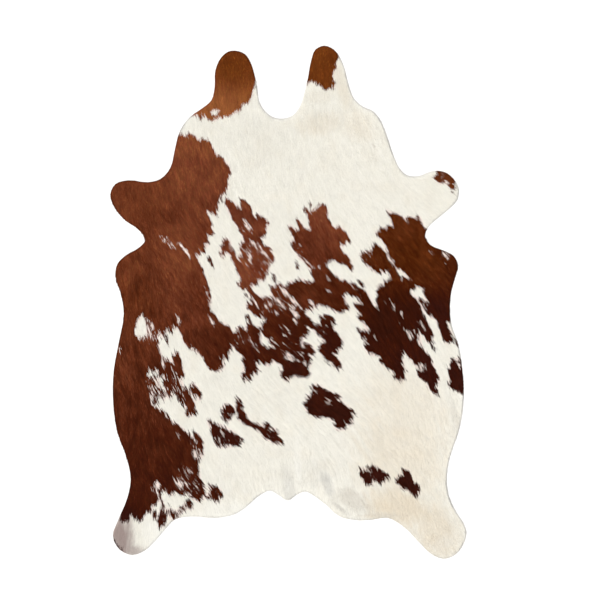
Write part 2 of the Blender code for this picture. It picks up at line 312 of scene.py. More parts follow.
DARK_STREAKS = [
    Streak(*row)
    for row in (
        (208, 258, 10, 2.5, 1.0), (212, 263, 11, 3, 1.0), (273, 276, 9, 4.5, 1.0),
        (246, 295, 5, 4, 0.9), (248, 319, 11, 4, 0.9), (306, 211, 9, 4, 1.0), (310, 205, 6, 4, 0.9),
        (298, 267, 10, 4.5, 1.0), (360, 283, 9, 5, 1.0), (433, 347, 10, 5, 1.0),
        (457, 343, 13, 3.5, 1.0), (167, 340, 12, 4, 0.9), (200, 114, 13, 5, 0.9), (398, 275, 9, 3, 0.8),
        (453, 192, 6, 3, 0.7), (222, 202, 7, 4, 0.3), (430, 343, 7, 4, 0.6), (161, 388, 18, 6, 0.4),
        (169, 504, 5, 3, 0.4), (207, 496, 6, 5, 0.7), (330, 365, 5, 4, 0.35),
    )
]

# Roan areas, where ivory hair mixes with the pigmented: middle x and y, length and width, and the
# share of ivory locks
Roan = namedtuple("Roan", "x y length width share")
ROANS = [
    Roan(*row)
    for row in (
        (149, 332, 28, 12, 0.26), (206, 276, 30, 7, 0.16), (210, 300, 30, 8, 0.16),
        (157, 391, 34, 18, 0.34), (176, 384, 40, 16, 0.24), (188, 480, 40, 24, 0.14),
        (197, 450, 30, 14, 0.20), (156, 492, 24, 10, 0.25), (284, 301, 40, 24, 0.13),
        (268, 306, 34, 22, 0.11), (248, 248, 60, 30, 0.20), (226, 248, 26, 10, 0.12),
        (254, 270, 24, 20, 0.10), (290, 350, 30, 34, 0.09), (374, 477, 22, 12, 0.12),
        (286, 331, 18, 14, 0.12), (322, 330, 14, 8, 0.10), (298, 254, 36, 12, 0.15),
        (354, 289, 22, 12, 0.14), (228, 436, 22, 26, 0.12), (228, 413, 18, 14, 0.12),
        (264, 431, 34, 18, 0.14), (240, 336, 30, 22, 0.14), (309, 268, 20, 12, 0.20),
        (412, 336, 24, 18, 0.10), (396, 272, 20, 20, 0.08), (447, 257, 16, 16, 0.12),
        (445, 178, 16, 14, 0.12), (161, 515, 26, 12, 0.12), (176, 510, 22, 26, 0.22),
        (213, 494, 20, 18, 0.12), (424, 304, 16, 9, 0.22), (372, 262, 24, 16, 0.10),
    )
]

# How deep the pigment is, from 0, chestnut, to 1, near black, and how golden: x, y, depth, gold
Shade = namedtuple("Shade", "x y depth gold")
PIGMENT_DEPTHS = {
    "left neck lobe tip": Shade(232, 62, 0.34, 1.0),
    "left neck lobe root": Shade(222, 110, 0.0, 0.2),
    "right neck lobe": Shade(320, 66, 0.33, 1.0),
    "right foreleg": Shade(446, 180, 0.36, 0.6),
    "left shoulder": Shade(196, 165, 0.24, 0.1),
    "left foreleg": Shade(138, 205, 0.35, 0.3),
    "left ribs": Shade(180, 255, 0.25, 0.15),
    "left brisket": Shade(125, 272, 0.32, 0.3),
    "left paunch": Shade(174, 290, 0.33, 0.15),
    "left belly": Shade(138, 300, 0.45, 0.4),
    "left stifle": Shade(122, 364, 0.44, 0.2),
    "left flank": Shade(200, 318, 0.42, 0.1),
    "left thigh": Shade(135, 420, 0.57, 0.1),
    "left thigh edge": Shade(185, 450, 0.64, 0.1),
    "left hind leg": Shade(140, 495, 0.65, 0.1),
    "left hind tip": Shade(121, 515, 1.0, 0.0),
    "left island": Shade(182, 390, 0.60, 0.0),
    "band": Shade(218, 345, 0.60, 0.1),
    "rib patch top": Shade(245, 215, 0.34, 0.0),
    "rib patch": Shade(252, 270, 0.27, 0.0),
    "withers top": Shade(319, 212, 0.24, 0.0),
    "withers patch": Shade(318, 240, 0.41, 0.1),
    "saddle top": Shade(310, 297, 0.54, 0.2),
    "saddle": Shade(285, 345, 0.70, 0.2),
    "left knee": Shade(246, 366, 0.74, 0.0),
    "saddle foot": Shade(292, 371, 0.86, 0.0),
    "saddle island": Shade(330, 345, 0.84, 0.0),
    "right shoulder": Shade(398, 232, 0.50, 0.7),
    "right chest": Shade(412, 255, 0.62, 0.9),
    "right ribs": Shade(432, 262, 0.50, 0.8),
    "right elbow": Shade(455, 270, 0.66, 0.6),
    "right belly": Shade(390, 320, 0.93, 0.5),
    "right flank": Shade(443, 315, 0.90, 0.0),
    "right stifle": Shade(425, 370, 0.92, 0.0),
    "right rim": Shade(457, 376, 1.0, 0.0),
    "thigh spot": Shade(235, 430, 0.90, 0.0),
    "loin spot": Shade(330, 410, 0.92, 0.2),
    "rump spots": Shade(390, 480, 1.0, 0.0),
}

# Tinges of the ivory hair: middle x and y, length and width, the heading of the length in degrees
# from +X, and the shares of tan, grey, brightness and mauve. The grey in the hollows by the tail and
# the rump and in the thin lines along the cut edge is painted shade.
Tinge = namedtuple("Tinge", "x y length width heading tan grey light mauve", defaults=(0.0,))
TINGES = {
    "left neck": Tinge(262, 132, 80, 50, -60, 0.0, 0.03, 0.0),
    # Painted shade: thin grey lines along the neck's cut edge
    "left neck's edge": Tinge(182.5, 126, 17, 2.4, 61, 0.0, 0.85, 0.0),
    "left neck's edge above": Tinge(189.5, 116.6, 10, 2.4, 42, 0.0, 0.85, 0.0),
    "throat": Tinge(322, 124, 46, 20, 10, 0.27, 0.04, 0.0),
    "right neck": Tinge(358, 126, 34, 26, -50, 0.26, 0.0, 0.0),
    "right lobe": Tinge(343, 88, 56, 12, -75, 0.26, 0.02, 0.0),
    "lobe roots": Tinge(318, 97, 26, 12, 0, 0.12, 0.03, 0.0),
    "right neck spot": Tinge(374, 146, 7, 3, -60, 0.20, 0.22, 0.0),
    # Painted shade in the hollow beside the tail
    "left tail hollow": Tinge(289, 486, 36, 12, -80, 0.0, 0.22, 0.0),
    # A painted highlight along the tail's ridge
    "tail": Tinge(298, 464, 44, 8, -88, 0.0, 0.0, 0.35),
    # Painted shade in the hollows right of the tail and along the rump's cut edge, over tan hair
    "right tail hollow": Tinge(318, 476, 40, 26, -56, 0.0, 0.06, 0.0),
    "right tail hollow's middle": Tinge(327, 484, 24, 12, -70, 0.0, 0.30, 0.0),
    "rump hollow": Tinge(352, 500, 32, 18, -35, 0.24, 0.20, 0.0),
    "rump hollow's edge": Tinge(341, 509, 20, 4, -38, 0.10, 0.30, 0.0),
    "rump edge's shade": Tinge(384, 516, 40, 5, 0, 0.50, 0.14, 0.0),
    "right loin": Tinge(372, 400, 50, 30, -80, 0.16, 0.0, 0.0),
    "right belly": Tinge(406, 420, 110, 84, -60, 0.30, 0.0, 0.0),
    "right rump": Tinge(402, 455, 100, 80, -50, 0.40, 0.0, 0.0),
    "right thigh": Tinge(402, 508, 66, 38, -20, 0.68, 0.0, 0.0),
    "right hock": Tinge(434, 530, 60, 44, -60, 0.50, 0.0, 0.0),
    "right hock pad": Tinge(444, 543, 20, 14, 30, 0.36, 0.04, 0.2),
    # Painted shade along the right cut edge
    "right rim": Tinge(456, 424, 70, 7, -80, 0.10, 0.12, 0.0),
    "left hock": Tinge(115, 538, 60, 34, -80, 0.0, 0.0, 0.0, 1.0),
    "left hock's foot": Tinge(130, 551, 26, 14, -10, 0.0, 0.06, 0.0, 0.70),
    # Painted shade along the left hock's cut edge, over its mauve hair
    "left hock's edge": Tinge(115, 543, 26, 3, -66, 0.0, 0.80, 0.0, 0.6),
    "left heel": Tinge(152, 530, 40, 24, -60, 0.0, 0.0, 0.34),
    "left seam": Tinge(222, 510, 60, 18, 0, 0.0, 0.0, 0.30),
}
# How far past its half sizes a tinge reaches, how softly it ends, and how the blush beside the
# patches fades
TINGE_REACH = 1.5
TINGE_SOFTNESS = 1.1
BLUSH_MOST = 0.8
BLUSH_FROM = 0.05
BLUSH_SOFTNESS = 0.5

# The way the hair lies, in degrees from +X, anticlockwise seen from above, how long it is against
# the longest, and how wavy: x, y, heading, length share, wave
Lie = namedtuple("Lie", "x y heading length wave")
LIES = {
    "left neck lobe": Lie(232, 75, -84, 0.62, 0.2),
    "right neck lobe": Lie(322, 70, -88, 0.62, 0.2),
    "throat": Lie(285, 130, -88, 0.72, 0.2),
    "left shoulder": Lie(196, 150, -78, 0.78, 0.3),
    "right shoulder": Lie(380, 150, -64, 0.76, 0.2),
    "left foreleg": Lie(128, 205, -78, 0.66, 0.3),
    "right foreleg": Lie(446, 185, -38, 0.62, 0.2),
    "withers": Lie(300, 215, -62, 0.84, 0.1),
    "left ribs": Lie(200, 260, -64, 0.90, 0.1),
    "left elbow": Lie(172, 246, -54, 0.88, 0.1),
    "left belly": Lie(130, 290, -86, 0.92, 0.2),
    "mid ribs": Lie(255, 255, -58, 0.92, 0.0),
    "saddle top": Lie(292, 302, -44, 0.94, 0.0),
    "saddle top, left": Lie(262, 300, -60, 0.94, 0.0),
    "saddle": Lie(290, 345, -42, 0.96, 0.1),
    "saddle band": Lie(250, 335, -62, 0.96, 0.0),
    "saddle foot": Lie(278, 374, -48, 0.80, 0.2),
    "right ribs": Lie(395, 262, -54, 0.92, 0.0),
    "right belly": Lie(446, 320, -58, 0.94, 0.1),
    "right flank": Lie(415, 335, -64, 0.96, 0.1),
    "left flank": Lie(170, 370, -68, 1.0, 0.2),
    "left thigh": Lie(125, 440, -88, 1.0, 0.4),
    "thigh": Lie(185, 480, -58, 1.0, 0.4),
    "loin": Lie(265, 430, -42, 1.0, 0.2),
    "right loin": Lie(335, 410, -38, 1.0, 0.3),
    "left rump": Lie(225, 460, -66, 1.0, 0.4),
    "tail": Lie(305, 480, -86, 1.0, 0.6),
    "right rump": Lie(390, 460, -62, 1.0, 1.0),
    "right thigh": Lie(440, 440, -74, 0.98, 0.8),
    "left hind leg": Lie(138, 530, -92, 0.74, 0.2),
    "right hind leg": Lie(420, 520, -62, 0.80, 0.8),
    "right hock": Lie(446, 545, -60, 0.70, 0.4),
}

# How finely the charts are laid, how far past the hide they reach, and the share of a cell that
# keeps a place inside them
CHART_STEP = 0.006
PATCH_CHART_STEP = 0.0015
CHART_MARGIN = 0.05
CHART_INSET = 0.001

# How fast a named place's say falls off with distance, and within how far it stays even
FALLOFF = 3.0
EVEN_WITHIN = 0.02
# Keeps a length of nought from being divided by
TINY = 1e-9

# How the plain hide is read: the gap at which its points merge, how close to the leather's height
# its cut edge is, the height that rays start from, and the percentile of its heights that is
# carried on level past its edge
MERGE_GAP = 1e-5
RIM_TOLERANCE = 0.02
RAY_HEIGHT = 1.0
EDGE_PERCENTILE = 2

# Chance patterns in the coat: how far each one swings, its width, its length where it is drawn out
# along the hair, and the seed that it starts from. The throws are how far along and across its lie
# a place looks for its patch, which combs out the patches' edges.
Pattern = namedtuple("Pattern", "swing width length seed")
PATTERNS = {
    "lie": Pattern(0.10, 0.110, None, 11),
    "lie, fine": Pattern(0.08, 0.045, None, 12),
    "wave": Pattern(0.38, 0.034, None, 13),
    "wave, fine": Pattern(0.28, 0.017, None, 14),
    "throw": Pattern(0.010, 0.0080, 0.030, 21),
    "throw, fine": Pattern(0.011, 0.0034, 0.030, 22),
    "side throw": Pattern(0.0065, 0.0080, 0.015, 23),
    "side throw, fine": Pattern(0.0035, 0.0034, 0.015, 30),
    "wisp": Pattern(4.25, 0.0028, 0.030, 24),
    "depth": Pattern(0.07, 0.055, None, 25),
    "depth, clump": Pattern(0.11, 0.011, 0.032, 26),
    "tinge": Pattern(0.22, 0.016, 0.090, 27),
    "tinge, fine": Pattern(0.14, 0.006, 0.045, 28),
    "tan haze": Pattern(0.11, 0.045, None, 33),
    "grey haze": Pattern(0.055, 0.0225, None, 34),
    "rim": Pattern(0.35, 0.030, None, 29),
    "lustre": Pattern(0.6, 0.006, 0.024, 31),
    "lustre, broad": Pattern(0.25, 0.030, None, 32),
    "tuft": Pattern(1.0, 0.012, 0.048, 41),
}
# A pattern drawn out along the hair: its steps, how much it is strengthened, and its most
COMB_STEPS = 7
COMB_STRENGTH = 0.8
COMB_MOST = 1.2

# How softly the patches are drawn, and the cover at which hair is half pigmented
PATCH_BLUR = 0.003
PATCH_LEVEL = 0.38
PATCH_SOFTNESS = 0.5
# The length share at which the throws act in full, and how much further each lock looks by chance
COMBED_FULLY = 0.94
FRINGE_THROW = 0.007

# How streaks and roan areas break up into wisps, and how softly they end
WISP_SOFTNESS = 0.35
STREAK_SOFTNESS = 0.8
STREAK_FILL = 0.4
STREAK_GAIN = 1.3
STREAK_MOST = 0.92
ROAN_REACH = 1.4
ROAN_EDGE = 0.9
ROAN_LEAST = 0.01
ROAN_SOFTNESS = 0.25

# How the pigment's depth varies: along the patches' edges, along the cut edge, where a painted
# shade deepens it, and lock by lock
EDGE_WIDTH = 0.014
EDGE_DEPTH = 0.22
EDGE_LEVEL = 0.85
EDGE_SOFTNESS = 0.6
RIM_WIDTH = 0.010
RIM_SHADE_DEPTH = 0.18
LOCK_DEPTH = 0.34
LOCK_SOFTNESS = 0.5
RED_HAIR_SHARE = 0.06
RED_HAIR_DEPTH = 0.16
# The shades of the pigment lie at these depths on its ramp, from chestnut to near black
SHADE_DEPTHS = (0.0, 0.25, 0.52, 0.76, 1.0)

# The thin grey line along the ivory hair's cut edge, a painted shade: its width, its share, the way
# that its strongest side faces, how much it weakens on the others, how strong it is on the whole,
# and how fast it fades inwards
RIM_LINE = 0.0065
RIM_SHADE_SHARE = 0.90
RIM_HEADING = -10.0
RIM_SWING = 0.45
RIM_EVEN = 0.75
RIM_FADE = 1.5

# Tufts of the coat: how far beside its root a lock feels for their ridges, how far it turns in to
# them, and how much they show in its lustre, a painted sheen on the ridges and painted shade in the
# valleys
TUFT_REACH = 0.0025
TUFT_TURN = 0.30
TUFT_LUSTRE = 0.5

# Chance in the locks: the least and the most that a lock's length, width and overhang are scaled by
LENGTH_LUCK = (0.75, 1.2)
WIDTH_LUCK = (0.7, 1.25)
OVERHANG_LUCK = (0.2, 1.0)
# A lock at the cut edge is trimmed to one of these shares of its length, or else to its stub
TRIMS = (0.3, 0.45, 0.6, 0.75, 0.88, 1.0)
STUB = 0.15
# The least share of its width that a short lock keeps. Under this share of the longest length a
# lock also lies lower, down to the least share of its lift.
NARROWEST = 0.4
SHORT_LOCK = 0.5
LEAST_LIFT = 0.45
# How high a tip stands in the room between the leather and the plain hide's top
LEAST_ROOM = 0.001
STANDING = 0.62
TUFT_STANDING = 0.22
STANDING_LUCK = 0.22
LEAST_STANDING = 0.25
# How far a root sinks in, how far a tip droops for each metre past the cut edge, and how much
# earlier than its place a waist rises and how much of its width it sags
ROOT_DEPTH = 0.0004
EDGE_DROOP = 0.5
WAIST_RISE = 0.18
WAIST_SAG = 0.22
# A lock's one number of luck gives two more, which run this many times as fast
OWN_TURNS = 7.0
THROW_TURNS = 13.0

# A lock's faces, by its root, its tip and the two sides of its waist, and the side that each is on
LOCK_FACES = np.array([(0, 1, 2), (0, 3, 1), (0, 2, 3), (1, 3, 2)])
LOCK_SIDES = np.array([0.0, 0.0, 1.0, -1.0])

# The skin's grid stays this share of a step inside the cut edge, its points merge within a gap,
# and its faces are smooth up to an angle in degrees
GRID_INSET = 0.6
TRIANGLE_GAP = 1e-7
SMOOTH_ANGLE = 50

# Fine hairs: how many noise waves cross half a lock, and how far apart the locks take theirs
HAIR_WAVES = 4.5
LOCK_SPAN = 90.0
# How much the locks differ in brightness, and how much their lustre, a painted sheen and shade, counts in
# that
IVORY_SWING = 0.058
PIGMENT_SWING = 0.56
LUSTRE_SHARE = 0.6
# How high the fine hairs stand, how rough the hair is, and how strongly the coat mirrors
HAIR_HEIGHT = 0.0003
IVORY_ROUGHNESS = 0.62
PIGMENT_ROUGHNESS = 0.46
COAT_SPECULAR = 0.03

# Sizes of the other finishes' patterns
FOLLICLE_GAP = 0.0012
FOLLICLE_DEPTH = 0.0003
NAP_CLOUD = 0.09
NAP_FIBRE = 0.0016
NAP_HEIGHT = 0.0004
PAPER_TOOTH = 0.004

# How the key light is turned, in degrees
KEY_TURN = (24, -30, 0)

# The coat's pieces: name, and the share of the hide's width and length that each one covers
Region = namedtuple("Region", "name left right bottom top")
REGIONS = (
    Region("hair_neck", 0.0, 1.0, 0.80, 1.0),
    Region("hair_left_shoulder", 0.0, 0.5, 0.55, 0.80),
    Region("hair_right_shoulder", 0.5, 1.0, 0.55, 0.80),
    Region("hair_left_flank", 0.0, 0.5, 0.28, 0.55),
    Region("hair_right_flank", 0.5, 1.0, 0.28, 0.55),
    Region("hair_left_rump", 0.0, 0.5, 0.0, 0.28),
    Region("hair_right_rump", 0.5, 1.0, 0.0, 0.28),
)

# A colour mix node's sockets, by number: its two colours and its result
MIX_A = 6
MIX_B = 7
MIX_RESULT = 2


def linear(hex_colour):
    """The linear red, green and blue of an sRGB hex colour."""
    shares = [int(hex_colour[start:start + 2], 16) / 255 for start in (1, 3, 5)]
    return tuple(s / 12.92 if s <= 0.04045 else ((s + 0.055) / 1.055) ** 2.4 for s in shares)


def from_photo(places):
    """Places in the photograph's pixels as metres in the frame."""
    places = np.asarray(places, dtype=float)
    x = CAD_LOW[0] + (places[..., 0] - PHOTO_LEFT) * PIXEL
    y = CAD_HIGH[1] - (places[..., 1] - PHOTO_TOP) * PIXEL
    return np.stack([x, y], axis=-1)


def headings(degrees):
    """Unit vectors at angles from +X."""
    angles = np.radians(degrees)
    return np.stack([np.cos(angles), np.sin(angles)], axis=-1)


def left_of(directions):
    """Unit vectors a quarter turn to the left."""
    return np.stack([-directions[..., 1], directions[..., 0]], axis=-1)


def smooth(share):
    """An even step from 0 to 1."""
    share = np.clip(share, 0.0, 1.0)
    return share * share * (3 - 2 * share)


class Chart:
    """An even grid of places over the hide, whose values are read back in between."""

    def __init__(self, step):
        self.step = step
        self.low = HIDE_LOW - CHART_MARGIN
        self.counts = np.ceil((HIDE_SIZE + 2 * CHART_MARGIN) / step).astype(int) + 1
        across = self.low[0] + step * np.arange(self.counts[0])
        along = self.low[1] + step * np.arange(self.counts[1])
        self.places = np.stack(np.meshgrid(across, along, indexing="ij"), axis=-1).reshape(-1, 2)

    def read(self, values, places):
        """Values at other places, blended from the four grid places around each."""
        cell = np.clip((places - self.low) / self.step, 0, self.counts - 1 - CHART_INSET)
        base = cell.astype(int)
        part = cell - base
        grid = values.reshape(self.counts[0], self.counts[1], -1)
        column, row = base[:, 0], base[:, 1]
        x, y = part[:, :1], part[:, 1:]
        blended = grid[column, row] * (1 - x) * (1 - y) + grid[column + 1, row] * x * (1 - y)
        blended += grid[column, row + 1] * (1 - x) * y + grid[column + 1, row + 1] * x * y
        return blended[:, 0] if values.ndim == 1 else blended


def unevenness(places, width, seed):
    """Smooth noise of a width, from -1 to 1."""
    low = HIDE_LOW - 2 * CHART_MARGIN
    counts = np.ceil((HIDE_SIZE + 4 * CHART_MARGIN) / width).astype(int) + 3
    lattice = np.random.default_rng(seed).uniform(-1, 1, counts)
    cell = np.clip((places - low) / width, 0, counts - 2 - CHART_INSET)
    base = cell.astype(int)
    part = smooth(cell - base)
    column, row = base[:, 0], base[:, 1]
    x, y = part[:, 0], part[:, 1]
    near = lattice[column, row] * (1 - x) + lattice[column + 1, row] * x
    far = lattice[column, row + 1] * (1 - x) + lattice[column + 1, row + 1] * x
    return near * (1 - y) + far * y


def combed(places, ways, width, length, seed):
    """Noise drawn out along the hair: streaks of a width and a length, from about -1 to 1."""
    total = np.zeros(len(places))
    for share in np.linspace(-0.5, 0.5, COMB_STEPS):
        total += unevenness(places + ways * length * share, width, seed)
    strength = COMB_STRENGTH * math.sqrt(1 + length / width)
    return np.clip(total / COMB_STEPS * strength, -COMB_MOST, COMB_MOST)


def chance(name, places, ways=None):
    """A named chance pattern at places, drawn out along the hair where it has a length."""
    pattern = PATTERNS[name]
    if pattern.length is None:
        return pattern.swing * unevenness(places, pattern.width, pattern.seed)
    return pattern.swing * combed(places, ways, pattern.width, pattern.length, pattern.seed)


def weighed(places, anchors, values):
    """Values at places, each anchor counting by its nearness."""
    gaps = np.linalg.norm(places[:, None, :] - anchors[None, :, :], axis=2)
    weights = 1 / (gaps + EVEN_WITHIN) ** FALLOFF
    return weights @ values / weights.sum(axis=1, keepdims=True)


def is_inside(places, edge):
    """Whether each place lies inside a closed edge, by counting the crossings to its right."""
    inside = np.zeros(len(places), dtype=bool)
    x, y = places[:, 0], places[:, 1]
    for start, end in zip(edge, np.roll(edge, -1, axis=0)):
        straddles = (start[1] > y) != (end[1] > y)
        rise = end[1] - start[1]
        if rise:
            crossing = start[0] + (y - start[1]) / rise * (end[0] - start[0])
            inside ^= straddles & (x < crossing)
    return inside


def edge_gap(places, edge):
    """The distance from each place to a closed edge."""
    nearest = np.full(len(places), np.inf)
    for start, end in zip(edge, np.roll(edge, -1, axis=0)):
        run = end - start
        share = np.clip((places - start) @ run / (run @ run), 0, 1)
        offset = places - start - share[:, None] * run
        nearest = np.minimum(nearest, (offset ** 2).sum(axis=1))
    return np.sqrt(nearest)


def hide_outline(shape, leather_height):
    """The cut edge of the merged hide, as an ordered ring at the leather's height."""
    rim = {v for v in shape.verts if abs(v.co.z / leather_height - 1) < RIM_TOLERANCE}
    start = min(rim, key=lambda v: v.co.y)
    ring, here, before = [], start, None
    while here is not start or not ring:
        ring.append((here.co.x, here.co.y))
        onward = [e.other_vert(here) for e in here.link_edges if e.other_vert(here) in rim]
        here, before = next(v for v in onward if v is not before), here
    return np.array(ring)


class Coat:
    """What the coat is like everywhere on the hide, worked out once."""

    def __init__(self, leather_thickness):
        shape = bmesh.new()
        shape.from_mesh(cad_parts[HIDE_NODE].data)
        bmesh.ops.remove_doubles(shape, verts=shape.verts[:], dist=MERGE_GAP)
        self.outline = hide_outline(shape, leather_thickness)
        self.chart = Chart(CHART_STEP)
        self.inner = self.measure_inner()
        self.top = self.measure_top(BVHTree.FromBMesh(shape))
        shape.free()
        places = self.chart.places
        lies = LIES.values()
        anchors = from_photo([(lie.x, lie.y) for lie in lies])
        self.lie = weighed(places, anchors, headings([lie.heading for lie in lies]))
        marks = np.array([(lie.length, lie.wave) for lie in lies])
        self.length, self.wave = weighed(places, anchors, marks).T.copy()
        shades = PIGMENT_DEPTHS.values()
        anchors = from_photo([(shade.x, shade.y) for shade in shades])
        marks = np.array([(shade.depth, shade.gold) for shade in shades])
        self.depth, self.gold = weighed(places, anchors, marks).T.copy()
        self.patch_chart = Chart(PATCH_CHART_STEP)
        drawn = self.draw_patches()
        self.patches = self.blurred(drawn, PATCH_BLUR)
        self.near_patches = self.blurred(drawn, EDGE_WIDTH)

    def measure_inner(self):
        """How far inside the cut edge each place is, negative outside."""
        gap = edge_gap(self.chart.places, self.outline)
        return np.where(is_inside(self.chart.places, self.outline), gap, -gap)

    def measure_top(self, tree):
        """The height of the plain hide, carried on level past its edge."""
        heights = np.zeros(len(self.chart.places))
        down = Vector((0, 0, -1))
        for index, (x, y) in enumerate(self.chart.places):
            hit = tree.ray_cast(Vector((x, y, RAY_HEIGHT)), down)[0]
            heights[index] = hit.z if hit else np.nan
        return np.where(np.isnan(heights), np.nanpercentile(heights, EDGE_PERCENTILE), heights)

    def draw_patches(self):
        """1 inside the pigmented patches and 0 in the ivory hair."""
        places = self.patch_chart.places
        drawn = np.zeros(len(places))
        for outlines, value in ((PATCHES, 1.0), (GAPS, 0.0)):
            for outline in outlines.values():
                edge = from_photo(outline)
                near = np.flatnonzero(
                    ((places > edge.min(axis=0)) & (places < edge.max(axis=0))).all(axis=1)
                )
                drawn[near[is_inside(places[near], edge)]] = value
        return drawn

    def blurred(self, values, width):
        """The patches with their edges softened over a width."""
        reach = max(1, round(width / 2 / PATCH_CHART_STEP))
        grid = values.reshape(self.patch_chart.counts)
        for axis in (0, 1):
            grid = sum(np.roll(grid, shift, axis=axis) for shift in range(-reach, reach + 1))
            grid = grid / (2 * reach + 1)
        return grid.reshape(-1)

    def lie_at(self, places):
        """The way the hair lies at each place, as unit vectors, with its wander and its waves."""
        ways = self.chart.read(self.lie, places)
        wave = self.chart.read(self.wave, places)
        wander = chance("lie", places) + chance("lie, fine", places)
        wander += wave * (chance("wave", places) + chance("wave, fine", places))
        ways = ways + left_of(ways) * wander[:, None]
        return ways / np.linalg.norm(ways, axis=1, keepdims=True)

    def pigment_at(self, places, ways):
        """The share of pigmented hair at each place, from 0 to 1, with combed-out edges."""
        throw = chance("throw", places, ways) + chance("throw, fine", places, ways)
        aside = chance("side throw", places, ways) + chance("side throw, fine", places, ways)
        # Short hair combs out less
        reach = (self.chart.read(self.length, places) / COMBED_FULLY) ** 2
        source = places + (ways * throw[:, None] + left_of(ways) * aside[:, None]) * reach[:, None]
        cover = self.patch_chart.read(self.patches, source)
        pigment = smooth((cover - PATCH_LEVEL) / PATCH_SOFTNESS + 0.5)
        # Each place's rank among the wisps, which turn one after another as a share grows
        rank = 1 / (1 + np.exp(-chance("wisp", places, ways)))
        for spot in DARK_STREAKS:
            pigment = np.maximum(pigment, self.streak(source, ways, rank, spot))
        for spot in PALE_STREAKS:
            pigment = pigment * (1 - STREAK_MOST * self.streak(source, ways, rank, spot))
        for spot in ROANS:
            pigment = pigment * (1 - self.roan(places, ways, rank, spot))
        return pigment

    @staticmethod
    def from_spot(places, ways, spot):
        """How far each place is from a spot, along and across a way, in the spot's half sizes."""
        offset = places - from_photo((spot.x, spot.y))
        along = (offset * ways).sum(axis=1) / (spot.length * PIXEL / 2)
        across = (offset * left_of(ways)).sum(axis=1) / (spot.width * PIXEL / 2)
        return along, across

    def streak(self, places, ways, rank, spot):
        """How much a streak turns the hair: a spindle along the hair, frayed where it is weak."""
        along, across = self.from_spot(places, ways, spot)
        inside = 1 - along ** 2 - np.abs(across)
        strength = smooth(inside / STREAK_SOFTNESS + STREAK_FILL)
        return strength * smooth((spot.share * STREAK_GAIN - 1 + rank) / WISP_SOFTNESS)

    def roan(self, places, ways, rank, spot):
        """How much a roan area turns the hair, in wisps along the hair."""
        reach = np.hypot(*self.from_spot(places, ways, spot))
        share = spot.share * smooth((ROAN_REACH - reach) / ROAN_EDGE)
        return smooth((share - 1 + rank) / ROAN_SOFTNESS) * (share > ROAN_LEAST)

    def depth_at(self, places, ways):
        """How deep the pigment is: darker along a patch's edge and in clumps, and along the cut edge by a
        painted shade.
        """
        near = self.patch_chart.read(self.near_patches, places)
        inner = self.chart.read(self.inner, places)
        depth = self.chart.read(self.depth, places)
        depth += EDGE_DEPTH * smooth((EDGE_LEVEL - near) / EDGE_SOFTNESS)
        # A painted shade darkens the pigmented hair along the cut edge
        depth += RIM_SHADE_DEPTH * smooth(1 - inner / RIM_WIDTH)
        # Long hair parts into deeper clumps
        shaggy = self.chart.read(self.length, places) ** 3
        depth += chance("depth", places) + shaggy * chance("depth, clump", places, ways)
        return np.clip(depth, 0, 1)

    def tinges_at(self, places, ways):
        """Shares of tan, grey, light and mauve in the ivory hair at each place, the grey holding painted
        shade.
        """
        tinges = np.zeros((len(places), 4))
        ragged = chance("tinge", places, ways) + chance("tinge, fine", places, ways)
        for tinge in TINGES.values():
            reach = np.hypot(*self.from_spot(places, headings(tinge.heading), tinge))
            weight = smooth((TINGE_REACH + ragged - reach) / TINGE_SOFTNESS)
            marks = np.array([tinge.tan, tinge.grey, tinge.light, tinge.mauve])
            tinges = np.maximum(tinges, weight[:, None] * marks)
        # Clouds of tan and grey haze lie over the ivory hair everywhere
        tinges[:, 0] += np.maximum(chance("tan haze", places), 0)
        tinges[:, 1] += np.maximum(chance("grey haze", places), 0)
        # The painted shade along the cut edge joins the grey
        tinges[:, 1] = np.maximum(tinges[:, 1], self.rim_shade(places))
        return tinges

    def rim_shade(self, places):
        """The painted shade along the cut edge: a thin grey line, strongest where the edge faces its
        heading.
        """
        inner = self.chart.read(self.inner, places)
        step = np.eye(2) * CHART_STEP
        slope = [self.chart.read(self.inner, places - along) - inner for along in step]
        outward = np.stack(slope, axis=-1)
        outward /= np.linalg.norm(outward, axis=1, keepdims=True) + TINY
        facing = np.clip(1 - RIM_SWING + RIM_SWING * outward @ headings(RIM_HEADING), 0, 1)
        broken = RIM_EVEN + chance("rim", places)
        return RIM_SHADE_SHARE * facing * broken * smooth(RIM_FADE * (1 - inner / RIM_LINE))


@cache
def coat():
    """The coat's charts, made when the first operator asks for them."""
    return Coat(bpy.context.scene.hide_leather.thickness)


def skin_height(places, leather):
    """The height of the skin, which rises part of the way with the plain hide's ridges."""
    top = coat().chart.read(coat().top, places)
    return leather.thickness + leather.ridge_share * np.clip(top - leather.ridge_floor, 0, None)


def select_only(piece):
    """Deselects everything else, and makes a piece the active one."""
    bpy.ops.object.select_all(action="DESELECT")
    piece.select_set(True)
    bpy.context.view_layer.objects.active = piece


def new_mesh_piece(name, points, faces):
    """A mesh object from arrays of points and triangles."""
    mesh = bpy.data.meshes.new(name)
    mesh.from_pydata(points, [], faces)
    piece = bpy.data.objects.new(name, mesh)
    bpy.context.scene.collection.objects.link(piece)
    return piece


def write_values(mesh, name, values):
    """Stores one number for each of the mesh's points."""
    layer = mesh.attributes.new(name, "FLOAT", "POINT")
    layer.data.foreach_set("value", np.ascontiguousarray(values, dtype=np.float32).ravel())


def write_flat_map(mesh):
    """A flat map of a piece seen from above, which fills the square."""
    flat = np.empty(len(mesh.vertices) * 3)
    mesh.vertices.foreach_get("co", flat)
    flat = flat.reshape(-1, 3)[:, :2]
    flat = (flat - flat.min(axis=0)) / np.ptp(flat, axis=0)
    corners = np.empty(len(mesh.loops), dtype=np.int32)
    mesh.loops.foreach_get("vertex_index", corners)
    layer = mesh.uv_layers.new(name="OFBake")
    layer.uv.foreach_set("vector", flat[corners].ravel())


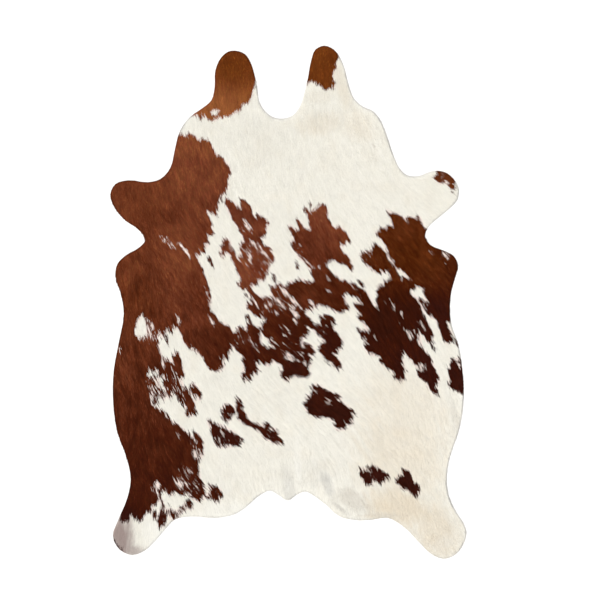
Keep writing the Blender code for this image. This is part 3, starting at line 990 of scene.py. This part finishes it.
def write_coat_values(mesh, places, ways, pigment, deeper=0.0, repeat=1):
    """Stores the coat's pigment, depth and tinges at places, each for a run of points."""
    tinges = coat().tinges_at(places, ways)
    near = coat().patch_chart.read(coat().near_patches, places)
    named = {
        "pigment": pigment,
        "depth": np.clip(coat().depth_at(places, ways) + deeper, 0, 1),
        "gold": coat().chart.read(coat().gold, places),
        "tan": tinges[:, 0],
        "grey": tinges[:, 1],
        "light": tinges[:, 2],
        "mauve": tinges[:, 3],
        "blush": BLUSH_MOST * smooth((near - BLUSH_FROM) / BLUSH_SOFTNESS),
    }
    for name, values in named.items():
        write_values(mesh, name, np.repeat(values, repeat))


def add_node(tree, kind, settings=None, inputs=None):
    """Adds a node, with its own fields set and each input given a value or linked from a socket."""
    node = tree.nodes.new(kind)
    for name, value in (settings or {}).items():
        setattr(node, name, value)
    for name, value in (inputs or {}).items():
        if isinstance(value, bpy.types.NodeSocket):
            tree.links.new(value, node.inputs[name])
        else:
            node.inputs[name].default_value = value
    return node


def new_material(name):
    """An empty node material with its output, and its node tree."""
    material = bpy.data.materials.new(name)
    material.use_nodes = True
    material.node_tree.nodes.clear()
    return material, material.node_tree


def finish_material(tree, surface):
    """Links a shader to the material's output."""
    add_node(tree, "ShaderNodeOutputMaterial", None, {"Surface": surface.outputs["BSDF"]})


def coat_colour(tree, colours):
    """Ivory hair with its tinges, mixed with the pigment's ramp from chestnut to near black."""
    named = {}
    for name in ("pigment", "depth", "gold", "tan", "grey", "light", "mauve", "blush"):
        named[name] = add_node(tree, "ShaderNodeAttribute", {"attribute_name": name}).outputs["Fac"]
    ramp = add_node(tree, "ShaderNodeValToRGB", None, {"Fac": named["depth"]})
    stops = (colours.chestnut, colours.russet, colours.bay, colours.seal, colours.near_black)
    elements = ramp.color_ramp.elements
    for _ in stops[2:]:
        elements.new(0.5)
    for element, depth, stop in zip(elements, SHADE_DEPTHS, stops):
        element.position = depth
        element.color = (*stop, 1.0)
    # Golden brown hair takes in more of the blue light than red brown hair
    golden = add_node(
        tree, "ShaderNodeMix", {"data_type": "RGBA", "blend_type": "MULTIPLY"},
        {"Factor": named["gold"], MIX_A: ramp.outputs["Color"], MIX_B: (*colours.gold, 1.0)},
    )
    ivory = (*colours.ivory, 1.0)
    # Grey holds painted shade in the hollows and along the cut edge, and bright a painted highlight on
    # the tail
    for name, colour in (
        ("blush", colours.blush), ("tan", colours.tan), ("mauve", colours.mauve),
        ("grey", colours.grey), ("light", colours.bright),
    ):
        mix = add_node(
            tree, "ShaderNodeMix", {"data_type": "RGBA"},
            {"Factor": named[name], MIX_A: ivory, MIX_B: (*colour, 1.0)},
        )
        ivory = mix.outputs[MIX_RESULT]
    both = add_node(
        tree, "ShaderNodeMix", {"data_type": "RGBA"},
        {"Factor": named["pigment"], MIX_A: ivory, MIX_B: golden.outputs[MIX_RESULT]},
    )
    return both.outputs[MIX_RESULT], named["pigment"]


def hair_material(colours):
    """Short cow hair: keratin, so a soft gloss, with fine hairs drawn along each lock."""
    material, tree = new_material("short cow hair")
    colour, pigment = coat_colour(tree, colours)
    side = add_node(tree, "ShaderNodeAttribute", {"attribute_name": "side"}).outputs["Fac"]
    strand = add_node(tree, "ShaderNodeAttribute", {"attribute_name": "strand"}).outputs["Fac"]
    lustre = add_node(tree, "ShaderNodeAttribute", {"attribute_name": "lustre"}).outputs["Fac"]
    # The fine hairs: nine across a lock 2 mm wide, each lock with its own
    spread = add_node(
        tree, "ShaderNodeMath", {"operation": "MULTIPLY_ADD"}, {0: strand, 1: LOCK_SPAN, 2: side},
    )
    hairs = add_node(
        tree, "ShaderNodeTexNoise", {"noise_dimensions": "1D"},
        {"W": spread.outputs["Value"], "Scale": HAIR_WAVES, "Detail": 2.0},
    )
    # Ivory hair varies by a few parts in a hundred, and pigmented hair by more
    reach = add_node(
        tree, "ShaderNodeMapRange", None,
        {"Value": pigment, "To Min": IVORY_SWING, "To Max": PIGMENT_SWING},
    )
    # The lustre brightens or darkens each lock as a painted sheen and shade
    by_lock = add_node(
        tree, "ShaderNodeMath", {"operation": "MULTIPLY_ADD"}, {0: lustre, 1: LUSTRE_SHARE, 2: strand},
    )
    centred = add_node(
        tree, "ShaderNodeMath", {"operation": "SUBTRACT"}, {0: by_lock.outputs["Value"], 1: 0.5},
    )
    swing = add_node(
        tree, "ShaderNodeMath", {"operation": "MULTIPLY_ADD"},
        {0: centred.outputs["Value"], 1: reach.outputs["Result"], 2: 1.0},
    )
    fine = add_node(
        tree, "ShaderNodeMapRange", None,
        {"Value": hairs.outputs["Fac"], "From Min": 0.3, "From Max": 0.7, "To Min": 0.95, "To Max": 1.05},
    )
    value = add_node(
        tree, "ShaderNodeMath", {"operation": "MULTIPLY"},
        {0: swing.outputs["Value"], 1: fine.outputs["Result"]},
    )
    toned = add_node(
        tree, "ShaderNodeHueSaturation", None, {"Color": colour, "Value": value.outputs["Value"]},
    )
    bump = add_node(
        tree, "ShaderNodeBump", None,
        {"Height": hairs.outputs["Fac"], "Strength": 0.35, "Distance": HAIR_HEIGHT},
    )
    roughness = add_node(
        tree, "ShaderNodeMapRange", None,
        {"Value": pigment, "To Min": IVORY_ROUGHNESS, "To Max": PIGMENT_ROUGHNESS},
    )
    surface = add_node(
        tree, "ShaderNodeBsdfPrincipled", None,
        {
            "Base Color": toned.outputs["Color"],
            "Roughness": roughness.outputs["Result"],
            "IOR": 1.55,
            "Specular IOR Level": COAT_SPECULAR,
            "Specular Tint": (*colours.gloss, 1.0),
            "Normal": bump.outputs["Normal"],
        },
    )
    finish_material(tree, surface)
    return material


def skin_material(colours):
    """Grain side of chrome-tanned hide between the hair roots: matt, in the coat's own colours."""
    material, tree = new_material("tanned grain under hair")
    colour, _ = coat_colour(tree, colours)
    place = add_node(tree, "ShaderNodeTexCoord").outputs["Object"]
    # Follicles: 1.2 mm apart, drawn coarser than the real 0.3 mm so that they show
    follicles = add_node(
        tree, "ShaderNodeTexVoronoi", None, {"Vector": place, "Scale": 1 / FOLLICLE_GAP},
    )
    shade = add_node(
        tree, "ShaderNodeMapRange", None,
        {"Value": follicles.outputs["Distance"], "To Min": 0.78, "To Max": 0.98},
    )
    toned = add_node(
        tree, "ShaderNodeHueSaturation", None, {"Color": colour, "Value": shade.outputs["Result"]},
    )
    bump = add_node(
        tree, "ShaderNodeBump", None,
        {"Height": follicles.outputs["Distance"], "Strength": 0.5, "Distance": FOLLICLE_DEPTH},
    )
    surface = add_node(
        tree, "ShaderNodeBsdfPrincipled", None,
        {
            "Base Color": toned.outputs["Color"],
            "Roughness": 0.7,
            "Specular IOR Level": COAT_SPECULAR,
            "Normal": bump.outputs["Normal"],
        },
    )
    finish_material(tree, surface)
    return material


def suede_material(colours):
    """Flesh side and cut edge: buffed suede, pale buff with a cloudy nap and fine fibres."""
    material, tree = new_material("buffed suede")
    place = add_node(tree, "ShaderNodeTexCoord").outputs["Object"]
    cloud = add_node(
        tree, "ShaderNodeTexNoise", None, {"Vector": place, "Scale": 1 / NAP_CLOUD, "Detail": 4.0},
    )
    fibre = add_node(
        tree, "ShaderNodeTexNoise", None,
        {"Vector": place, "Scale": 1 / NAP_FIBRE, "Detail": 3.0, "Roughness": 0.65},
    )
    tone = add_node(
        tree, "ShaderNodeMix", {"data_type": "RGBA"},
        {
            "Factor": cloud.outputs["Fac"],
            MIX_A: (*colours.suede_dark, 1.0),
            MIX_B: (*colours.suede_light, 1.0),
        },
    )
    nap = add_node(
        tree, "ShaderNodeMapRange", None, {"Value": fibre.outputs["Fac"], "To Min": 0.84, "To Max": 1.14},
    )
    toned = add_node(
        tree, "ShaderNodeHueSaturation", None,
        {"Color": tone.outputs[MIX_RESULT], "Value": nap.outputs["Result"]},
    )
    bump = add_node(
        tree, "ShaderNodeBump", None,
        {"Height": fibre.outputs["Fac"], "Strength": 0.6, "Distance": NAP_HEIGHT},
    )
    surface = add_node(
        tree, "ShaderNodeBsdfPrincipled", None,
        {
            "Base Color": toned.outputs["Color"],
            "Roughness": 0.92,
            "Sheen Weight": 0.3,
            "Sheen Roughness": 0.5,
            "Normal": bump.outputs["Normal"],
        },
    )
    finish_material(tree, surface)
    return material


def floor_material(colours):
    """Matt studio paper: an even, nearly white ground with a faint tooth."""
    material, tree = new_material("matt studio paper")
    place = add_node(tree, "ShaderNodeTexCoord").outputs["Object"]
    tooth = add_node(tree, "ShaderNodeTexNoise", None, {"Vector": place, "Scale": 1 / PAPER_TOOTH})
    shade = add_node(
        tree, "ShaderNodeMapRange", None, {"Value": tooth.outputs["Fac"], "To Min": 0.985, "To Max": 1.0},
    )
    toned = add_node(
        tree, "ShaderNodeHueSaturation", None,
        {"Color": (*colours.paper, 1.0), "Value": shade.outputs["Result"]},
    )
    surface = add_node(
        tree, "ShaderNodeBsdfPrincipled", None,
        {"Base Color": toned.outputs["Color"], "Roughness": 0.95, "Specular IOR Level": 0.1},
    )
    finish_material(tree, surface)
    return material


def skin_places(leather):
    """An even staggered grid of places inside the cut edge."""
    row_step = leather.grid * math.sqrt(3) / 2
    columns = math.ceil(HIDE_SIZE[0] / leather.grid) + 2
    rows = math.ceil(HIDE_SIZE[1] / row_step)
    column, row = np.meshgrid(np.arange(columns), np.arange(rows), indexing="ij")
    x = CAD_LOW[0] + (column + row % 2 / 2) * leather.grid
    y = CAD_LOW[1] + row * row_step
    grid = np.stack([x.ravel(), y.ravel()], axis=-1)
    return grid[coat().chart.read(coat().inner, grid) > leather.grid * GRID_INSET]


def build_skin(leather, colours):
    """The tanned skin: one thin sheet to the cut edge, lifted a little along the ridges."""
    ring = coat().outline
    places = np.vstack([ring, skin_places(leather)])
    edges = [(index, (index + 1) % len(ring)) for index in range(len(ring))]
    points = [Vector(place) for place in places]
    vertices, _, faces, _, _, _ = delaunay_2d_cdt(points, edges, [], 1, TRIANGLE_GAP)
    places = np.array([tuple(vertex) for vertex in vertices])
    heights = skin_height(places, leather)
    skin = new_mesh_piece("tanned_skin", np.column_stack([places, heights]), faces)
    ways = coat().lie_at(places)
    write_coat_values(skin.data, places, ways, coat().pigment_at(places, ways))
    skin.data.materials.append(skin_material(colours))
    skin.data.materials.append(suede_material(colours))
    thicken = skin.modifiers.new("thickness", "SOLIDIFY")
    thicken.thickness = leather.thickness
    thicken.offset = -1
    thicken.material_offset = 1
    thicken.material_offset_rim = 1
    select_only(skin)
    bpy.ops.object.modifier_apply(modifier=thicken.name)
    bpy.ops.object.shade_smooth_by_angle(angle=math.radians(SMOOTH_ANGLE))
    return skin


def lock_roots(hair):
    """Root places on a jittered grid inside the cut edge."""
    luck = np.random.default_rng(hair.seed)
    counts = np.ceil(HIDE_SIZE / hair.spacing).astype(int) + 1
    column, row = np.meshgrid(np.arange(counts[0]), np.arange(counts[1]), indexing="ij")
    jitter = luck.uniform(-0.5, 0.5, (column.size, 2))
    places = HIDE_LOW + (np.stack([column.ravel(), row.ravel()], axis=-1) + jitter) * hair.spacing
    return places[coat().chart.read(coat().inner, places) > hair.root_inset], luck


def lock_lengths(roots, ways, hair, luck):
    """Each lock's length, trimmed where it would stand out past the cut edge."""
    lengths = hair.length * coat().chart.read(coat().length, roots)
    lengths *= luck.uniform(*LENGTH_LUCK, len(roots))
    trimmed = lengths * STUB
    overhang = hair.overhang * luck.uniform(*OVERHANG_LUCK, len(roots))
    for share in TRIMS:
        tips = roots + ways * (lengths * share)[:, None]
        fits = coat().chart.read(coat().inner, tips) > -overhang
        trimmed = np.where(fits, lengths * share, trimmed)
    return trimmed


def tufts_at(places, ways):
    """How high the coat's tufts stand at each place, from about -1 in a valley to 1 on a ridge."""
    return chance("tuft", places, ways)


def lock_ways(roots, hair, luck):
    """The way each lock lies, turned in to its tuft's ridge, with its own stray."""
    ways = coat().lie_at(roots)
    across = left_of(ways) * TUFT_REACH
    rise = tufts_at(roots + across, ways) - tufts_at(roots - across, ways)
    turn = TUFT_TURN * np.clip(rise, -1, 1)[:, None]
    turn += luck.normal(0, math.tan(hair.stray), (len(roots), 1))
    ways = ways + left_of(ways) * turn
    return ways / np.linalg.norm(ways, axis=1, keepdims=True)


def grow_locks(hair, leather):
    """Every lock of the coat: four points each, with its place of colour and its own luck."""
    roots, luck = lock_roots(hair)
    count = len(roots)
    ways = lock_ways(roots, hair, luck)
    lengths = lock_lengths(roots, ways, hair, luck)
    widths = hair.width * luck.uniform(*WIDTH_LUCK, count)
    widths *= np.clip(lengths / hair.length, NARROWEST, 1)
    tips = roots + ways * lengths[:, None]
    waists = roots + ways * (lengths * hair.waist)[:, None]
    aside = left_of(ways) * (widths / 2)[:, None]
    root_heights = skin_height(roots, leather) - ROOT_DEPTH
    room = np.clip(coat().chart.read(coat().top, tips) - leather.thickness, LEAST_ROOM, None)
    past_edge = np.clip(-coat().chart.read(coat().inner, tips), 0, None)
    standing = STANDING + TUFT_STANDING * tufts_at(tips, ways)
    standing += luck.uniform(-STANDING_LUCK, STANDING_LUCK, count)
    lift = np.clip(standing, LEAST_STANDING, 1) * room - EDGE_DROOP * past_edge
    lift *= np.clip(lengths / (SHORT_LOCK * hair.length), LEAST_LIFT, 1)
    tip_heights = leather.thickness + lift
    waist_heights = root_heights + (tip_heights - root_heights) * (hair.waist + WAIST_RISE)
    waist_heights -= widths * WAIST_SAG
    points = np.empty((count, 4, 3))
    points[:, 0] = np.column_stack([roots, root_heights])
    points[:, 1] = np.column_stack([tips, tip_heights])
    points[:, 2] = np.column_stack([waists + aside, waist_heights])
    points[:, 3] = np.column_stack([waists - aside, waist_heights])
    seen = roots + ways * (lengths * hair.seen_at)[:, None]
    return points, seen, luck.uniform(0, 1, count)


def build_coat(hair, leather, colours):
    """The coat's pieces, one for each region, as joined meshes of locks."""
    points, seen, strand = grow_locks(hair, leather)
    ways = coat().lie_at(seen)
    # Most locks are wholly ivory or wholly pigmented, in the share that the place asks for
    own = np.modf(strand * OWN_TURNS)[0]
    throw = FRINGE_THROW * (2 * np.modf(strand * THROW_TURNS)[0] - 1)
    pigment = coat().pigment_at(seen + ways * throw[:, None], ways)
    pigment = smooth((pigment * (1 + LOCK_SOFTNESS) - own) / LOCK_SOFTNESS)
    deeper = LOCK_DEPTH * (strand - 0.5) - RED_HAIR_DEPTH * (own > 1 - RED_HAIR_SHARE)
    # Lustre is painted sheen and shade: brighter on the tufts' ridges, darker in their valleys, and in
    # streaks along the hair
    lustre = TUFT_LUSTRE * tufts_at(seen, ways)
    lustre += chance("lustre", seen, ways) + chance("lustre, broad", seen)
    shares = (points[:, 0, :2] - HIDE_LOW) / HIDE_SIZE
    material = hair_material(colours)
    pieces = []
    for region in REGIONS:
        mine = (shares >= (region.left, region.bottom)) & (shares < (region.right, region.top))
        mine = mine.all(axis=1)
        count = int(mine.sum())
        faces = (LOCK_FACES[None] + 4 * np.arange(count)[:, None, None]).reshape(-1, 3)
        piece = new_mesh_piece(region.name, points[mine].reshape(-1, 3), faces)
        write_coat_values(piece.data, seen[mine], ways[mine], pigment[mine], deeper[mine], repeat=4)
        write_values(piece.data, "strand", np.repeat(strand[mine], 4))
        write_values(piece.data, "lustre", np.repeat(lustre[mine], 4))
        write_values(piece.data, "side", np.tile(LOCK_SIDES, count))
        write_flat_map(piece.data)
        piece.data.materials.append(material)
        pieces.append(piece)
    return pieces


def colour_property(name, description, hex_colour):
    """A colour that a user may change, from its sRGB hex value."""
    return bpy.props.FloatVectorProperty(
        name=name, description=description, subtype="COLOR", size=3, min=0, max=1,
        default=linear(hex_colour),
    )


class HideLeatherSizes(bpy.types.PropertyGroup):
    """Sizes of the tanned skin."""

    thickness: bpy.props.FloatProperty(
        name="Thickness", description="Thickness of the tanned skin", default=0.002, min=0.001,
        max=0.003, unit="LENGTH",
    )
    grid: bpy.props.FloatProperty(
        name="Grid", description="Distance between the skin's points", default=0.010, min=0.006,
        max=0.05, unit="LENGTH",
    )
    ridge_floor: bpy.props.FloatProperty(
        name="Ridge floor", description="Height of the plain hide above which the skin lifts",
        default=0.0062, min=0.002, max=0.02, unit="LENGTH",
    )
    ridge_share: bpy.props.FloatProperty(
        name="Ridge share", description="How much of a ridge the skin takes part in", default=0.6,
        min=0, max=1, subtype="FACTOR",
    )


class HideHairSizes(bpy.types.PropertyGroup):
    """Sizes of the coat's locks."""

    length: bpy.props.FloatProperty(
        name="Length", description="Length of the longest locks, on the belly and the rump",
        default=0.027, min=0.01, max=0.05, unit="LENGTH",
    )
    width: bpy.props.FloatProperty(
        name="Width", description="Width of a lock at its waist", default=0.0021, min=0.001, max=0.01,
        unit="LENGTH",
    )
    spacing: bpy.props.FloatProperty(
        name="Spacing", description="Distance between the locks' roots", default=0.00334, min=0.003,
        max=0.02, unit="LENGTH",
    )
    waist: bpy.props.FloatProperty(
        name="Waist", description="Share of its length at which a lock is widest", default=0.55,
        min=0.2, max=0.8, subtype="FACTOR",
    )
    seen_at: bpy.props.FloatProperty(
        name="Seen at", description="Share of its length at which most of a lock shows", default=0.65,
        min=0, max=1, subtype="FACTOR",
    )
    stray: bpy.props.FloatProperty(
        name="Stray", description="How far locks turn away from the lie around them",
        default=math.radians(7), min=0, max=math.radians(40), subtype="ANGLE",
    )
    root_inset: bpy.props.FloatProperty(
        name="Root inset", description="Distance from the cut edge to the first roots", default=0.0008,
        min=0, max=0.01, unit="LENGTH",
    )
    overhang: bpy.props.FloatProperty(
        name="Overhang", description="How far the longest tips reach past the cut edge",
        default=0.0035, min=0, max=0.01, unit="LENGTH",
    )
    seed: bpy.props.IntProperty(
        name="Seed", description="Chooses another chance arrangement of the locks", default=7, min=0,
    )


class HideCoatColours(bpy.types.PropertyGroup):
    """Colours of the hair, the skin and the stage."""

    ivory: colour_property("Ivory", "Unpigmented hair", "#F3F0E6")
    # Beside the tail, bright is a painted highlight on its ridge
    bright: colour_property("Bright", "The palest hair beside the tail", "#FAF9F4")
    tan: colour_property("Tan", "Yellowed hair of the right thigh", "#E6D8C0")
    # In the hollows and along the cut edge, grey is painted shade
    grey: colour_property("Grey", "Hair in the hollows and along the cut edge", "#9E9C9A")
    mauve: colour_property("Mauve", "Hair of the left hock", "#AA9993")
    blush: colour_property("Blush", "Ivory hair beside the patches", "#F1E0D8")
    gloss: colour_property("Gloss", "Tint of the hair's gloss", "#FFCEAD")
    gold: colour_property("Gold", "What golden brown hair lets back of each colour", "#FFFFA2")
    chestnut: colour_property("Chestnut", "The lightest pigmented hair", "#A06039")
    russet: colour_property("Russet", "Hair of the left side", "#7C3F2B")
    bay: colour_property("Bay", "Hair of the right shoulder", "#552512")
    seal: colour_property("Seal", "Hair of the saddle", "#3E1408")
    near_black: colour_property("Near black", "Hair of the rump spots", "#33130D")
    suede_light: colour_property("Suede, light", "Raised nap of the flesh side", "#D8C8AE")
    suede_dark: colour_property("Suede, dark", "Brushed nap of the flesh side", "#B9A484")
    paper: colour_property("Paper", "The studio floor", "#FAFAFA")


class HideStageSizes(bpy.types.PropertyGroup):
    """Sizes of the stage, the camera and the light."""

    floor_size: bpy.props.FloatProperty(
        name="Floor", description="Width of the studio floor", default=30.0, min=3, max=60,
        unit="LENGTH",
    )
    floor_gap: bpy.props.FloatProperty(
        name="Floor gap", description="How far the floor lies under the hide", default=0.0002, min=0,
        max=0.002, unit="LENGTH",
    )
    lens: bpy.props.FloatProperty(
        name="Lens", description="Focal length, in millimetres", default=100.0, min=20, max=300,
    )
    key_strength: bpy.props.FloatProperty(
        name="Key light", description="Strength of the broad key light", default=2.3, min=0, max=20,
    )
    key_spread: bpy.props.FloatProperty(
        name="Key spread", description="How broad the key light is", default=math.radians(50), min=0,
        max=math.radians(180), subtype="ANGLE",
    )
    fill_strength: bpy.props.FloatProperty(
        name="Fill light", description="Strength of the light from all round", default=0.67, min=0,
        max=5,
    )


class HIDE_OT_skin(bpy.types.Operator):
    """Makes the tanned skin, which stands for the plain hide"""

    bl_idname = "hide.skin"
    bl_label = "Tanned skin"

    def execute(self, context):
        skin = build_skin(context.scene.hide_leather, context.scene.hide_colours)
        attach(skin, "root")
        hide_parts(HIDE_NODE)
        return {"FINISHED"}


class HIDE_OT_coat(bpy.types.Operator):
    bl_idname = "hide.coat"
    bl_label = "Coat of hair"

    def execute(self, context):
        scene = context.scene
        pieces = build_coat(scene.hide_hair, scene.hide_leather, scene.hide_colours)
        for piece in pieces:
            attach(piece, "root")
        outline = coat().outline
        return {"FINISHED"}


class HIDE_OT_stage(bpy.types.Operator):
    """Sets the pale floor, the soft light and the camera straight above"""

    bl_idname = "hide.stage"
    bl_label = "Stage"

    def execute(self, context):
        sizes = context.scene.hide_stage
        bpy.ops.object.select_all(action="DESELECT")
        bpy.ops.mesh.primitive_plane_add(size=sizes.floor_size, location=(0, 0, -sizes.floor_gap))
        floor = context.object
        floor.name = "studio_floor"
        bpy.ops.object.transform_apply(location=True, rotation=True, scale=True)
        floor.data.materials.append(floor_material(context.scene.hide_colours))
        bpy.ops.object.light_add(type="SUN", rotation=[math.radians(turn) for turn in KEY_TURN])
        key = context.object.data
        key.energy = sizes.key_strength
        key.angle = sizes.key_spread
        world = bpy.data.worlds.new("studio fill")
        world.use_nodes = True
        fill = world.node_tree.nodes["Background"].inputs
        fill["Strength"].default_value = sizes.fill_strength
        fill["Color"].default_value = (1.0, 1.0, 1.0, 1.0)
        context.scene.world = world
        context.scene.view_settings.view_transform = "Standard"
        self.place_camera(context, sizes)
        return {"FINISHED"}

    @staticmethod
    def place_camera(context, sizes):
        """A long lens straight above, so that a pixel is as wide as in the photograph."""
        middle = from_photo((PHOTO_SIZE / 2, PHOTO_SIZE / 2))
        field = PHOTO_SIZE * PIXEL
        bpy.ops.object.camera_add()
        camera = context.object
        camera.data.lens = sizes.lens
        height = field * sizes.lens / camera.data.sensor_width
        camera.location = (middle[0], middle[1], CAD_HIGH[2] + height)
        camera.data.clip_end = 4 * height
        context.scene.camera = camera


class HIDE_PT_panel(bpy.types.Panel):
    """Lists the hide's steps and their sizes."""

    bl_label = "Hide"
    bl_idname = "HIDE_PT_panel"
    bl_space_type = "VIEW_3D"
    bl_region_type = "UI"
    bl_category = "Hide"

    def draw(self, context):
        for step in STEPS:
            self.layout.operator(step.bl_idname)
        for name, group in GROUPS.items():
            box = self.layout.box()
            settings = getattr(context.scene, name)
            for field in group.__annotations__:
                box.prop(settings, field)


STEPS = (HIDE_OT_skin, HIDE_OT_coat, HIDE_OT_stage)
GROUPS = {
    "hide_leather": HideLeatherSizes,
    "hide_hair": HideHairSizes,
    "hide_colours": HideCoatColours,
    "hide_stage": HideStageSizes,
}


def register():
    """Registers the settings, the steps and the panel."""
    for name, group in GROUPS.items():
        bpy.utils.register_class(group)
        setattr(bpy.types.Scene, name, bpy.props.PointerProperty(type=group))
    for step in STEPS:
        bpy.utils.register_class(step)
    bpy.utils.register_class(HIDE_PT_panel)


def unregister():
    """Removes what register added."""
    bpy.utils.unregister_class(HIDE_PT_panel)
    for step in reversed(STEPS):
        bpy.utils.unregister_class(step)
    for name, group in reversed(GROUPS.items()):
        delattr(bpy.types.Scene, name)
        bpy.utils.unregister_class(group)


def main():
    """Builds everything in order."""
    register()
    bpy.ops.hide.skin()
    bpy.ops.hide.coat()
    bpy.ops.hide.stage()


if __name__ == "__main__":
    main()
